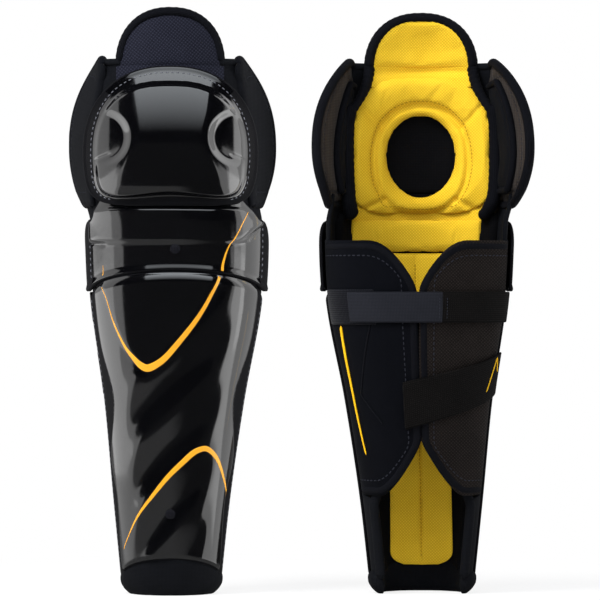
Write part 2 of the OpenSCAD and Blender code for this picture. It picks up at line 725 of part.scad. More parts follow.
function shown(piece, g) = node == "all" || node == str(piece, "_", g);
for (g = GUARDS) {
    if (shown("shin_shell", g)) shin_shell(g);
    if (shown("upper_shin_plate", g)) upper_shin_plate(g);
    if (shown("shell_rivets", g)) shell_rivets(g);
    if (shown("shin_foam", g)) shin_foam(g);
    if (shown("shin_liner", g)) shin_liner(g);
    if (shown("liner_band", g)) liner_band(g);
    if (shown("ankle_bolster", g)) ankle_bolster(g);
    if (shown("side_gussets", g)) side_gussets(g);
    if (shown("knee_cap", g)) knee_cap(g);
    if (shown("knee_foam", g)) knee_foam(g);
    if (shown("knee_ring", g)) knee_ring(g);
    if (shown("knee_side_cushions", g)) knee_side_cushions(g);
    if (shown("knee_brow", g)) knee_brow(g);
    if (shown("thigh_flap", g)) thigh_flap(g);
    if (shown("thigh_flap_hem", g)) thigh_flap_hem(g);
    if (shown("thigh_liner", g)) thigh_liner(g);
    if (shown("wing_left", g)) wing_left(g);
    if (shown("wing_right", g)) wing_right(g);
    if (shown("wing_pad_left", g)) wing_pad_left(g);
    if (shown("wing_pad_right", g)) wing_pad_right(g);
    if (shown("wing_tab", g)) wing_tab(g);
    if (shown("calf_wrap_left", g)) calf_wrap_left(g);
    if (shown("calf_wrap_right", g)) calf_wrap_right(g);
    if (shown("wrap_piping", g)) wrap_piping(g);
    if (shown("loop_patch", g)) loop_patch(g);
    if (shown("upper_strap", g)) upper_strap(g);
    if (shown("upper_strap_tab", g)) upper_strap_tab(g);
    if (shown("lower_strap", g)) lower_strap(g);
    if (shown("lower_strap_hook", g)) lower_strap_hook(g);
}
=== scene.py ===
# %% [markdown]
# # A pair of ice hockey shin guards
# Two guards of one hand stand side by side: the left one shows its hard shells, the right one its padding
# and its straps. The solids of the frame give every place and size. This lesson dresses them: each piece
# is a surface worked out with numpy, then placed on both guards by the same rule that the solids follow.

# %% Load the frame
import math
from collections import namedtuple

import bpy
import numpy as np
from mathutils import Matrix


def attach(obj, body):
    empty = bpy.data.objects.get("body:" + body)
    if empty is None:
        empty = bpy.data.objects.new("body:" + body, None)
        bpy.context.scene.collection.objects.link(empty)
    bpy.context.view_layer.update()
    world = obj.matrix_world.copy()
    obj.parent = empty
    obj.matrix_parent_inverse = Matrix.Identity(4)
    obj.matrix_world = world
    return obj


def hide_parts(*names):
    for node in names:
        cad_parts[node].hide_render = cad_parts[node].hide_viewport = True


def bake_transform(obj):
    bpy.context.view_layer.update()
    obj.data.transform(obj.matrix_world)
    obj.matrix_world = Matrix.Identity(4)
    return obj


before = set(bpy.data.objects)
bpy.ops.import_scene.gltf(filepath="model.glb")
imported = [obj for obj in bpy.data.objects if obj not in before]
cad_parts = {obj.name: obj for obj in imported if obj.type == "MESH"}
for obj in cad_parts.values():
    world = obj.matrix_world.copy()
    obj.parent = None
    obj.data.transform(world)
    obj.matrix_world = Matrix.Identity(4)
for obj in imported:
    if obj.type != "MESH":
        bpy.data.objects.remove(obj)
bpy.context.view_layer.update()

# %% [markdown]
# ## The form of a guard
# A shin guard is a shell round a leg, so its natural coordinates are an angle round the leg and a height.
# The section is half an ellipse in front and half behind, and its width follows the calf. The same few
# curves place every layer, which keeps foam, shell and straps parallel. All lengths are millimetres until
# a shape is placed, where they become metres.

# %% Places of the layers
# Heights over the floor.
KNEE_LOW, KNEE_TOP, KNEE_MID, FOLD = 329.0, 444.0, 371.55, 444.2
SHELL_LOW, SHELL_TOP, PLATE_TOP = 32.0, 272.0, 342.0
BAND_TOP, BAND_LOW, RING_MID = 319.0, 289.0, 369.0
WING_LOW, WING_TOP = 330.0, 452.0
# The wall of a shell, and the places of the layers: millimetres out from the section, or in where negative.
WALL, FOAM_OUT, FOAM_IN, LINER_OUT = 2.6, -3.1, -13.1, -13.6
KNEE_FOAM_OUT, KNEE_FOAM_IN, KNEE_SEAT = -7.1, -16.1, -17.1
WRAP_OUT, WRAP_IN, PATCH_OUT, STRAP_IN, STRAP_OUT = -3.1, -8.1, -1.7, -1.3, 0.7
# Sideways: a guard's middle from the pair's, the reach of a wing, and how much wider guard 2 is.
ASIDE, WING_OUT, SPREAD = 106.5, 89.0, 1.06
print("shin shell from", SHELL_LOW, "to", SHELL_TOP, "mm, knee cap from", KNEE_LOW, "to", KNEE_TOP, "mm")


# %% Curves that every piece follows
def mix(a, b, t):
    """The value t of the way from a to b."""
    return a + (b - a) * t


def ease(t):
    """A step from 0 to 1 that starts and ends level: 3t^2 - 2t^3 on t held between 0 and 1."""
    c = np.clip(t, 0, 1)
    return c * c * (3 - 2 * c)


def through(stations, p):
    """A smooth curve through (position, value) stations: on each stretch a cubic whose end slopes are
    those of the chord between the two neighbours; level beyond the ends."""
    x, y = np.array(stations, float).T
    k = np.arange(len(x))
    before, after = np.maximum(k - 1, 0), np.minimum(k + 1, len(x) - 1)
    slope = (y[after] - y[before]) / (x[after] - x[before])
    q = np.clip(p, x[0], x[-1])
    i = np.clip(np.searchsorted(x, q, side="right") - 1, 0, len(x) - 2)
    w = x[i + 1] - x[i]
    t = (q - x[i]) / w
    return mix(y[i], y[i + 1], ease(t)) + w * t * (1 - t) * (slope[i] * (1 - t) - slope[i + 1] * t)


def half_w(z):
    """Half width of the leg section at a height."""
    return through([(0, 42), (82, 50.5), (165, 60.5), (250, 74), (KNEE_LOW, 77.5)], z)


def front_d(z):
    """Depth of the section in front of the leg's middle."""
    return through([(0, 45), (KNEE_LOW, 62)], z)


def back_d(z):
    """Depth of the section behind the leg's middle."""
    return through([(0, 34), (165, 52), (KNEE_LOW, 52)], z)


def leg(phi, z, off):
    """A point on the section: an ellipse with half axes grown by off, at phi degrees from the front."""
    phi, z, off = np.broadcast_arrays(np.radians(phi), np.asarray(z, float), np.asarray(off, float))
    depth = np.where(np.cos(phi) >= 0, front_d(z), back_d(z))
    return np.stack([(half_w(z) + off) * np.sin(phi), -(depth + off) * np.cos(phi), z], -1)


print("section at the calf:", half_w(165.0) * 2, "mm wide")


# %% From a guard to the frame
def lean(z):
    """Sideways shift of the guard towards the outer side of the calf, 4.5 mm at most."""
    shares = [(0, 0), (82, 0.1), (165, 0.6), (250, 1), (315, 0.9), (KNEE_LOW, 0.3), (PLATE_TOP, 0)]
    return 4.5 * through(shares, z)


def put(guard, p):
    """From a guard's own millimetres to metres of the frame: lean, spread, move aside; guard 2 is turned
    round."""
    turn, spread = (1, 1.0) if guard == 1 else (-1, SPREAD)
    middle = -turn * ASIDE + WING_OUT / 2 * (1 - SPREAD)  # the last term centres the pair
    x = middle + turn * spread * (p[:, 0] + lean(p[:, 2]))
    return np.stack([x, turn * p[:, 1], p[:, 2]], -1) / 1000


print("the guards stand at", *[np.round(put(g, np.zeros((1, 3)))[0], 4) for g in (1, 2)])

# %% [markdown]
# ## Tools that turn formulas into meshes
# Most pieces here are sheets with two faces: a shell wall, a strap, a pad. A slab takes the outer and the
# inner face as two grids of points and rolls a half-round rim from one to the other, so no edge is knife
# sharp. A finished shape is placed on both guards at once, and each piece says which body it moves with.

# %% Slabs
Shape = namedtuple("Shape", "points faces uv tags")
OUTSIDE, INSIDE, RIM = 0, 1, 2  # tags of a slab's faces; a tag chooses the finish


def grid(us, vs):
    """Two arrays, one row for each v and one column for each u."""
    return np.meshgrid(np.asarray(us, float), np.asarray(vs, float))


def quads(number):
    """Faces of a grid of point numbers, anticlockwise as u runs right and v runs up."""
    return np.stack([number[:-1, :-1], number[:-1, 1:], number[1:, 1:], number[1:, :-1]], -1).reshape(-1, 4)


def unit(v):
    """Vectors cut to length 1."""
    return v / np.maximum(np.linalg.norm(v, axis=-1, keepdims=True), 1e-9)


def arc(points, axis):
    """Length along a path, or along a grid's rows or columns, summed from step to step."""
    step = np.linalg.norm(np.diff(points, axis=axis), axis=-1)
    return np.concatenate([np.zeros_like(np.take(step, [0], axis)), np.cumsum(step, axis)], axis)


def slab(outer, inner, roll=5, bulge=1.0):
    """A closed sheet: the outer grid, the inner grid, and between their borders half a circle whose
    diameter is the sheet's thickness there, drawn with roll steps and flattened by bulge. The flat
    pattern (uv) is the arc length on the outer grid, in metres."""
    rows, cols = outer.shape[:2]
    n = rows * cols
    number = np.arange(n).reshape(rows, cols)
    edge = np.concatenate([number[0, :-1], number[:-1, -1], number[-1, :0:-1], number[:0:-1, 0]])
    r, c = np.divmod(edge, cols)
    inside = number[np.clip(r, 1, rows - 2), np.clip(c, 1, cols - 2)]
    a, b = outer.reshape(-1, 3), inner.reshape(-1, 3)
    across = a[edge] - b[edge]
    half = np.maximum(np.linalg.norm(across, axis=1, keepdims=True) / 2, 1e-6)
    out = a[edge] - a[inside] + b[edge] - b[inside]
    out = unit(out - across * np.sum(out * across, axis=1, keepdims=True) / (4 * half**2))
    turn = (np.pi * np.arange(1, roll) / roll)[:, None, None]
    rings = (a[edge] + b[edge]) / 2 + np.cos(turn) * across / 2 + np.sin(turn) * half * bulge * out
    rolled = 2 * n + np.arange(rings[..., 0].size).reshape(rings.shape[:2])
    loops = np.concatenate([edge[None], rolled, n + edge[None]])
    ahead = np.roll(loops, -1, 1)
    rim = np.stack([loops[:-1], loops[1:], ahead[1:], ahead[:-1]], -1).reshape(-1, 4)
    u, v = arc(outer, 1), arc(outer, 0)
    flat = np.stack([u - u[:, [cols // 2]], v], -1).reshape(-1, 2) / 1000
    uv = np.concatenate([flat, flat, np.tile(flat[edge], (roll - 1, 1))])
    sheet = quads(number)
    tags = np.repeat([OUTSIDE, INSIDE, RIM], [len(sheet), len(sheet), len(rim)])
    return Shape(np.concatenate([a, b, rings.reshape(-1, 3)]), [sheet, sheet[:, ::-1] + n, rim], uv, tags)


def retag(shape, here, tag):
    """Another finish for some faces of a slab's outer grid: here is true at the grid's points."""
    tags, chosen = shape.tags.copy(), (here[:-1, :-1] & here[1:, 1:]).ravel()
    tags[:chosen.size][chosen] = tag
    return shape._replace(tags=tags)


u, v = grid((-10, 0, 10), (100, 110, 120))
print("a slab of 3 by 3 points has", len(slab(leg(u, v, 0), leg(u, v, -WALL)).points), "with its rim")


# %% Put a shape into the scene
def new_object(name, data):
    """An object that is linked into the scene."""
    obj = bpy.data.objects.new(name, data)
    bpy.context.scene.collection.objects.link(obj)
    return obj


def mesh_of(name, points, shape):
    """A Blender mesh from whole arrays: corner lists of all faces end to end, with the start of each."""
    mesh = bpy.data.meshes.new(name)
    corners = np.concatenate([f.ravel() for f in shape.faces])
    counts = np.concatenate([np.full(len(f), f.shape[1]) for f in shape.faces])
    mesh.vertices.add(len(points))
    mesh.vertices.foreach_set("co", points.ravel())
    mesh.loops.add(len(corners))
    mesh.loops.foreach_set("vertex_index", corners)
    mesh.polygons.add(len(counts))
    mesh.polygons.foreach_set("loop_start", np.cumsum(counts) - counts)
    mesh.polygons.foreach_set("material_index", shape.tags)
    mesh.polygons.foreach_set("use_smooth", np.ones(len(counts), bool))
    mesh.uv_layers.new(name="flat").data.foreach_set("uv", shape.uv[corners].ravel())
    mesh.update(calc_edges=True)
    mesh.validate()
    return mesh


def body_of(body, guard):
    """The name of a guard's own body; the shins of both guards hold still, so they are one body."""
    return body if body == "shin_bodies" else f"{body}_{guard}"


def piece(name, shape, guard, finishes):
    """One piece of one guard: its mesh in the frame and its finishes by face tag."""
    obj = new_object(f"guard{guard}_{name}", mesh_of(name, put(guard, shape.points), shape))
    for material in finishes:
        obj.data.materials.append(material)
    return obj


def place_pair(name, shape, body, finishes, nodes=()):
    """A piece that moves with one body, on both guards; nodes are the solids that it stands for."""
    for g in (1, 2):
        obj = piece(name, shape, g, finishes)
        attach(obj, body_of(body, g))
        if nodes:
            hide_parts(*[f"{n}_{g}" for n in nodes])
    print(f"{name}: {len(shape.points)} points, rides on {body}")


print("the two knees ride on", body_of("knee", 1), "and", body_of("knee", 2))

# %% [markdown]
# ## Finishes
# Each finish starts from a real material. Colours are written as on a screen and turned to linear light
# by one function. Pattern sizes are real millimetres; threads finer than about 1 mm would vanish at this
# distance, so they are drawn coarser, and the comment says so.

# %% Tools for finishes
def light(code):
    """Linear red, green, blue and 1 from a screen colour such as #1a2b3c."""
    s = np.array([int(code[k:k + 2], 16) for k in (1, 3, 5)]) / 255
    return (*np.where(s <= 0.04045, s / 12.92, ((s + 0.055) / 1.055) ** 2.4), 1.0)


def add(tree, kind, values=(), links=(), **settings):
    """One node: settings are its properties, values its inputs, links the outputs that feed its inputs."""
    node = tree.nodes.new(kind)
    for key, value in settings.items():
        setattr(node, key, value)
    for key, value in dict(values).items():
        node.inputs[key].default_value = value
    for key, source in dict(links).items():
        tree.links.new(source, node.inputs[key])
    return node


def finish(name, **shader):
    """An empty finish: the material, its node tree and its shader, whose plain values are set on the
    sockets."""
    material = bpy.data.materials.new(name)
    material.use_nodes = True
    body = material.node_tree.nodes["Principled BSDF"]
    for key, value in shader.items():
        body.inputs[key.replace("_", " ")].default_value = value
    return material, material.node_tree, body


print("mid grey on a screen is", round(float(light("#808080")[0]), 3), "in linear light")

# %% Gloss plastic
# Injection-moulded polycarbonate: a polished tool leaves a clear, deep gloss with faint waves and
# hairline marks.
gloss_plastic, t, body = finish("gloss_polycarbonate", IOR=1.58, Coat_Weight=0.35, Coat_Roughness=0.04)
where = add(t, "ShaderNodeTexCoord").outputs["Object"]
cloud = add(t, "ShaderNodeTexNoise", {"Scale": 18, "Detail": 3}, {"Vector": where}).outputs["Fac"]
tint = add(t, "ShaderNodeMix", {6: light("#030304"), 7: light("#08080a")}, {0: cloud}, data_type="RGBA")
t.links.new(tint.outputs[2], body.inputs["Base Color"])
haze = add(t, "ShaderNodeTexNoise", {"Scale": 260, "Detail": 4, "Roughness": 0.7}, {"Vector": where})
rough = add(t, "ShaderNodeMapRange", {"From Min": 0.3, "From Max": 0.75, "To Min": 0.06, "To Max": 0.16},
            {"Value": haze.outputs["Fac"]})
t.links.new(rough.outputs[0], body.inputs["Roughness"])
swell = add(t, "ShaderNodeBump", {"Strength": 0.06, "Distance": 0.002}, {"Height": cloud})
t.links.new(swell.outputs[0], body.inputs["Normal"])
print("finish:", gloss_plastic.name)

# %% Printed ink
# Two-part ink printed on the gloss shell: opaque and smooth, slightly softer than the plastic round it.
printed_ink, t, body = finish("printed_ink", Roughness=0.3, IOR=1.5)
where = add(t, "ShaderNodeTexCoord").outputs["Object"]
grain = add(t, "ShaderNodeTexNoise", {"Scale": 900, "Detail": 2}, {"Vector": where}).outputs["Fac"]
tint = add(t, "ShaderNodeMix", {6: light("#e4960b"), 7: light("#f1aa1c")}, {0: grain}, data_type="RGBA")
t.links.new(tint.outputs[2], body.inputs["Base Color"])
print("finish:", printed_ink.name)


# %% Woven and knitted covers
def stripes(mm):
    """Scale of a wave texture whose bands repeat every mm: a band is 2 pi / 20 of the scaled length."""
    return 2 * math.pi / 20 / (mm / 1000)


def cover(name, dark, pale, pitch, relief, angle=0.0, own_pattern=False, fuzz=0.012, rough=0.85):
    """A textile: two crossed sets of thread waves, pitch mm apart and turned by angle, colour the cover
    from dark to pale and raise its threads by relief mm; a slow cloud varies the dye. Sheen is the fuzz
    of the yarn. own_pattern lays the threads along the piece's flat pattern, as on tapes and cords."""
    material, tree, shader = finish(name, Roughness=rough, Specular_IOR_Level=0.06,
                                    Sheen_Weight=fuzz, Sheen_Roughness=0.4)
    if own_pattern:
        at, up = add(tree, "ShaderNodeUVMap", uv_map="flat").outputs[0], "Y"
    else:
        at, up = add(tree, "ShaderNodeTexCoord").outputs["Object"], "Z"
    turned = add(tree, "ShaderNodeMapping", {"Rotation": (0, angle, 0)}, {"Vector": at}).outputs[0]
    bands = {"Scale": stripes(pitch)}
    warp = add(tree, "ShaderNodeTexWave", bands, {"Vector": turned}, bands_direction="X").outputs["Fac"]
    weft = add(tree, "ShaderNodeTexWave", bands, {"Vector": turned}, bands_direction=up).outputs["Fac"]
    thread = add(tree, "ShaderNodeMath", {}, {0: warp, 1: weft}, operation="MULTIPLY").outputs[0]
    dye = add(tree, "ShaderNodeTexNoise", {"Scale": 35, "Detail": 3}, {"Vector": at}).outputs["Fac"]
    shade = add(tree, "ShaderNodeMath", {1: 0.5}, {0: dye, 2: thread}, operation="MULTIPLY_ADD").outputs[0]
    tint = add(tree, "ShaderNodeMix", {6: light(dark), 7: light(pale)}, {0: shade}, data_type="RGBA")
    tree.links.new(tint.outputs[2], shader.inputs["Base Color"])
    raised = add(tree, "ShaderNodeBump", {"Strength": 0.7, "Distance": relief / 1000}, {"Height": thread})
    tree.links.new(raised.outputs[0], shader.inputs["Normal"])
    print("finish:", name)
    return material


# Polyester twill of the flap: 0.5 mm threads on the bias, drawn at 2.2 mm so that the diagonal shows.
flap_twill = cover("polyester_twill", "#0d0e14", "#262732", 2.2, 0.35, angle=0.9)
# Nylon pack cloth of the wings: fine plain weave of 0.4 mm threads, drawn at 1.1 mm.
wing_cloth = cover("nylon_pack_cloth", "#07080a", "#15161a", 1.1, 0.2)
# Brushed tricot inside the wings: a soft knitted nap, brown-grey, drawn at 1.3 mm.
wing_tricot = cover("brushed_tricot", "#1f1b19", "#3d3733", 1.3, 0.25, fuzz=0.05, rough=0.95)
# Spacer knit of the liner: rows of dimples 1.2 mm apart, drawn at 1.8 mm.
liner_knit = cover("yellow_spacer_knit", "#c89c1a", "#efc836", 1.8, 0.3, angle=0.75, fuzz=0.03, rough=0.8)
# Knitted stretch binding: ribs of 0.7 mm across the tape, drawn at 1.0 mm.
stretch_binding = cover("stretch_binding", "#050507", "#121318", 1.0, 0.15, own_pattern=True)
# Jersey-faced neoprene: fine knit of 0.6 mm loops over rubber foam, drawn at 1.0 mm.
neoprene = cover("jersey_neoprene", "#030407", "#0a0b10", 1.0, 0.12, own_pattern=True)
# Warp-knit mesh of the other wrap: open diamonds of 2 mm over a dark ground.
open_mesh = cover("warp_knit_mesh", "#070605", "#25201e", 2.0, 0.5, angle=0.785)
# Ribbed elastic webbing: cords 1.4 mm apart run along the strap, drawn at 1.7 mm.
elastic = cover("ribbed_elastic", "#040404", "#151312", 1.7, 0.35, own_pattern=True)
# Hook tape: a dense field of moulded hooks, 1.2 mm apart, slate grey.
hook_tape = cover("hook_tape", "#131418", "#25262c", 1.2, 0.2, own_pattern=True, rough=0.7)
# Loop pile for the hooks: felted filaments, drawn at 1.6 mm.
loop_pile = cover("loop_pile", "#07070a", "#17181d", 1.6, 0.35, own_pattern=True, fuzz=0.1, rough=0.95)
# Cloth-faced EVA foam: closed cells under thin black knit, drawn at 1.4 mm.
foam_knit = cover("knit_faced_foam", "#040405", "#0f0f11", 1.4, 0.2, rough=0.95)
# Pebbled vinyl of the sewn flanges: a matt leather grain of 1.5 mm cells.
flange_vinyl = cover("pebbled_vinyl", "#060608", "#111114", 1.5, 0.12, angle=0.4, rough=0.55)
# Bonded nylon thread, dull grey.
thread = cover("bonded_thread", "#45464b", "#808188", 0.8, 0.05, rough=0.6)
# Charcoal thread of the same kind.
dark_thread = cover("charcoal_thread", "#17181d", "#303139", 0.8, 0.05, rough=0.6)
# Mustard thread that quilts the liner.
liner_thread = cover("mustard_thread", "#7c5a0a", "#b58a17", 0.8, 0.05, rough=0.6)
# Satin piping cord, yellow.
piping_satin = cover("satin_piping", "#d99f0c", "#ffcb25", 1.2, 0.1, own_pattern=True, rough=0.45)
# Turned nylon rivet heads with a dull sheen.
rivet_nylon = cover("rivet_nylon", "#0c0c0f", "#1b1b20", 2.5, 0.05, fuzz=0.0, rough=0.35)

# %% [markdown]
# ## Shin shell
# The long shell is moulded with a flat flange for sewing, a rounded step and a raised face. On the face a
# shallow V panel and slanting waves break up the reflections. A height over the leg section is enough to
# describe it, so the whole relief is one function of angle and height, and the printed stripes can ride
# on the same function.

# %% Shin shell
FLANGE = 80.0  # degrees from the front to the edge of the sewn flange
# Foot of the V panel, as (angle, height).
V_LINE = [(-57, 266), (-50, 250.5), (-44.6, 230), (-36.2, 209.6), (-28.8, 199), (-19.4, 191.8),
          (-6.6, 200), (0.6, 209.8), (9.3, 223.6), (17.1, 238.3), (25.4, 258.6), (31, 277)]


def edge_z(middle, phi):
    """Upper and lower edges of the shell: highest at the front, 17 mm lower at the flange, as a parabola."""
    return middle - 17 * (np.minimum(np.abs(phi), FLANGE) / FLANGE) ** 2


def face_edge(z):
    """Angle at which the raised face ends."""
    return through([(SHELL_LOW, 65), (82, 62), (115, 68), (165, 55), (210, 65), (250, 66)], z)


def shell_rise(phi, z):
    """Height over the section: 2 mm of face inside a 4.4 degree step, a 0.9 mm V panel, slanting waves of
    1 mm below it that fade to the sides, a top edge that curls back by 2.4 mm in its last 7 mm, and a
    lower edge that curls by 1 mm in its last 3 mm. The curls are parabolas."""
    face = ease((face_edge(z) + 2.2 - np.abs(phi)) / 4.4)
    v_line = through(V_LINE, phi)
    panel = ease(0.5 + (z - v_line) * 0.5 / 6)
    wave = np.cos(2 * np.pi * (z - 0.98 * phi - 209) / 54)
    wave = wave * ease((v_line - z) / 14) * ease((44 - np.abs(phi)) / 24)
    curl = 2.4 * np.clip((z - edge_z(SHELL_TOP, phi) + 7) / 7, 0, 1) ** 2
    foot = np.clip((edge_z(SHELL_LOW, phi) + 3 - z) / 3, 0, 1) ** 2
    return face * (2 + 0.9 * panel + wave) - curl - foot


def shell_phi(u, z):
    """Angle of a grid column: the face for |u| up to 1, the step to 2, the flange to 3."""
    b, f = np.abs(u), face_edge(z)
    inner, outer = f - 3, f + 3
    beside = np.where(b <= 2, mix(inner, outer, b - 1), mix(outer, FLANGE, b - 2))
    return np.sign(u) * np.where(b <= 1, b * inner, beside)


columns = np.unique(np.concatenate([np.linspace(-3, -2, 9), np.linspace(-2, -1, 11), np.linspace(-1, 1, 71),
                                    np.linspace(1, 2, 11), np.linspace(2, 3, 9)]))
u, v = grid(columns, np.linspace(0, 1, 190))
rough_phi = shell_phi(u, mix(SHELL_LOW, SHELL_TOP, v))
z = mix(edge_z(SHELL_LOW, rough_phi), edge_z(SHELL_TOP, rough_phi), v)
phi = shell_phi(u, z)
rise = shell_rise(phi, z)
shin_shell = slab(leg(phi, z, rise), leg(phi, z, rise - WALL))
shin_shell = retag(shin_shell, np.abs(phi) > face_edge(z) + 1.8, RIM)
shell_finishes = [gloss_plastic, foam_knit, flange_vinyl]
place_pair("shin_shell", shin_shell, "shin_bodies", shell_finishes, ["shin_shell"])

# %% [markdown]
# ## Upper plate
# Between the shin shell and the knee cap a second plate closes the gap and slides under the cap when the
# knee bends. Its upper half overhangs the lower one along a rounded ridge, with a short slit at each end
# of the ridge.

# %% Upper plate
def ridge_z(phi):
    """Height of the ridge: level at the front and the left, climbing 14 mm towards the right end."""
    return 298 + 14 * ease((phi - 38) / 34)


def plate_rise(phi, z):
    """Height over the section: the upper band stands 2.4 mm proud above the ridge, the lower edge has a 1
    mm lip, slits cut 1.4 mm under the ridge ends, and the top is tucked 5 mm under the cap."""
    low, end = edge_z(SHELL_TOP, phi) + 3, np.abs(phi)
    over = 2.4 * ease((z - ridge_z(phi) + 3.5) / 6) * ease((328 - z) / 4) * ease((76 - end) / 9)
    lip = ease(1 - (z - low) / 5)
    slit = 1.4 * np.exp(-(((z - ridge_z(phi) + 1.5) / 1.1) ** 2))
    slit = slit * ease((end - 46) / 8) * ease((74 - end) / 6)
    return 0.2 + over + lip - slit - 5 * ease((z - KNEE_LOW + 1) / 14)


u, v = grid(np.linspace(-1, 1, 121), np.linspace(0, 1, 90))
phi = u * 95
top = mix(PLATE_TOP, KNEE_LOW - 14, ease((np.abs(phi) - 42) / 24))
top = top - 26 * np.clip((np.abs(phi) - 74) / 21, 0, 1) ** 2
z = mix(edge_z(SHELL_TOP, phi) + 3, top, v)
rise, flare = plate_rise(phi, z), 1.6 * ease((np.abs(phi) - 72) / 23)
upper_plate = slab(leg(phi, z, rise + flare), leg(phi, z, np.minimum(rise, 0.2) + flare - WALL))
upper_plate = retag(upper_plate, np.abs(phi) > 69, RIM)
plate_finishes = [gloss_plastic, gloss_plastic, flange_vinyl]
place_pair("upper_shin_plate", upper_plate, "shin_bodies", plate_finishes, ["upper_shin_plate"])

# %% [markdown]
# ## Printed stripes
# Two orange lines sweep over the shells and swell towards their middle. A ribbon only 0.14 mm over the
# surface follows every curve of the relief, because it asks the same height function; a texture would
# need an unwrapped map.

# %% Printed stripes
def join(*shapes):
    """Several shapes as one, faces renumbered."""
    start = np.cumsum([0] + [len(s.points) for s in shapes])
    faces = [f + k for s, k in zip(shapes, start) for f in s.faces]
    return Shape(np.concatenate([s.points for s in shapes]), faces,
                 np.concatenate([s.uv for s in shapes]), np.concatenate([s.tags for s in shapes]))


def stripe(stations, rise, samples=90):
    """A ribbon along (angle, height, width) stations: its middle line is a smooth curve through them, its
    width lies square to that line on the unrolled section, and each point stands 0.14 mm over the
    surface."""
    s = np.array(stations, float)
    run = arc(s[:, :2], 0)
    at = np.linspace(0, run[-1], samples)
    phi, z, w = [through(np.stack([run, c], -1), at) for c in s.T]
    per_degree = np.radians(1) * half_w(z)
    ahead = unit(np.stack([np.gradient(phi) * per_degree, np.gradient(z)], -1))
    side = np.linspace(1, -1, 7)[None, :] * w[:, None] / 2
    phis = phi[:, None] - ahead[:, 1:] * side / per_degree[:, None]
    zs = z[:, None] + ahead[:, :1] * side
    lift = rise(phis, zs)
    return slab(leg(phis, zs, lift + 0.14), leg(phis, zs, lift - 0.25), roll=3, bulge=0.2)


v_stripe = stripe([(-54.2, 259.6, 0.7), (-50, 250.5, 1.0), (-44.6, 230, 1.6), (-36.2, 209.6, 2.6),
                   (-28.8, 199, 4.4), (-24.4, 194.2, 5.6), (-19.4, 191.8, 6.2), (-13.4, 194.3, 5.6),
                   (-6.6, 200, 5.0), (0.6, 209.8, 4.6), (9.3, 223.6, 4.2), (17.1, 238.3, 3.6),
                   (25.4, 258.6, 2.9), (29.2, 268.6, 2.6)], shell_rise)
arc_stripe = stripe([(-56, 38.5, 0.5), (-44.2, 52.7, 0.9), (-33.8, 65.7, 1.6), (-17.2, 83.6, 2.8),
                     (-2, 101.1, 3.8), (10.3, 113.3, 4.4), (18.3, 120.6, 4.6), (23.3, 123.2, 4.6),
                     (29.5, 124.2, 4.3), (36.6, 120.8, 3.8), (43.8, 113.9, 3.2), (53.7, 99.3, 2.2),
                     (60, 88.9, 1.2), (62.5, 82.8, 0.5)], shell_rise)
plate_stripe = stripe([(30.9, 273.5, 2.4), (31.5, 279, 2.2), (33.6, 288, 1.5), (36.4, 295.4, 1.1),
                       (41.7, 305.4, 0.9), (46.7, 315.3, 0.7), (52, 323, 0.4)], plate_rise)
plate_tail = stripe([(-54, 269.5, 0.7), (-53.9, 274, 0.6), (-53.8, 278, 0.3)], plate_rise, 12)
printed = join(v_stripe, arc_stripe, plate_stripe, plate_tail)
place_pair("printed_stripes", printed, "shin_bodies", [printed_ink] * 3)

# %% [markdown]
# ## Knee cap
# The cap is one moulding with a sewn flange, a rounded step and a domed face. Two round scoops let the
# sides give when the knee hits the ice, and leave a waisted panel in the middle. A grid of squares drawn
# into the cap's outline has no pole, so the gloss stays clean, and the relief is again a height over a
# plain curved wall.

# %% Knee wall
def knee_b(z):
    """Depth of the knee wall: a sine bulge of 11 mm, drawn back by a cubic towards the top."""
    t = (z - KNEE_LOW) / (KNEE_TOP - KNEE_LOW)
    return 64.8 + 11 * np.sin(np.pi * np.clip(0.87 * t, 0, 1)) - 8 * np.maximum(t, 0) ** 3


def knee(x, z, off):
    """A point on the knee wall: half an ellipse in plan, grown by off."""
    x, z, off = np.broadcast_arrays(np.asarray(x, float), np.asarray(z, float), np.asarray(off, float))
    y = -(knee_b(z) + off) * np.sqrt(np.maximum(0, 1 - (x / (80.3 + off)) ** 2))
    return np.stack([x, y, z], -1)


print("knee wall:", round(-float(knee(0, KNEE_MID, 0)[1]), 1), "mm before the leg's middle")


# %% Knee cap
def disc(n):
    """A square grid drawn into a round one: the larger of |a| and |b| is the share of the way to the
    outline, and the direction is that of the grid point."""
    a, b = grid(np.linspace(-1, 1, n), np.linspace(-1, 1, n))
    return np.maximum(np.abs(a), np.abs(b)), np.arctan2(b, a)


CAP_HALF, CAP_RISE, CAP_DROP = 71.5, 72.45, 42.55  # from the cap's middle to its side, its top and its foot
ROUND = 2.3  # power of the superellipse that the top of the cap, the flap and its hem follow


def arch(wide, high, turn, power):
    """Distance to a superellipse of half axes wide and high in a direction."""
    return ((np.abs(np.cos(turn)) / wide) ** power + (np.abs(np.sin(turn)) / high) ** power) ** (-1 / power)


def cap_outline(turn):
    """Distance of the cap's edge from its middle in a direction: a superellipse of power 2.3 above, and
    one of power 7, nearly a rectangle, below."""
    above, below = arch(CAP_HALF, CAP_RISE, turn, ROUND), arch(CAP_HALF, CAP_DROP, turn, 7)
    return np.where(np.sin(turn) >= 0, above, below)


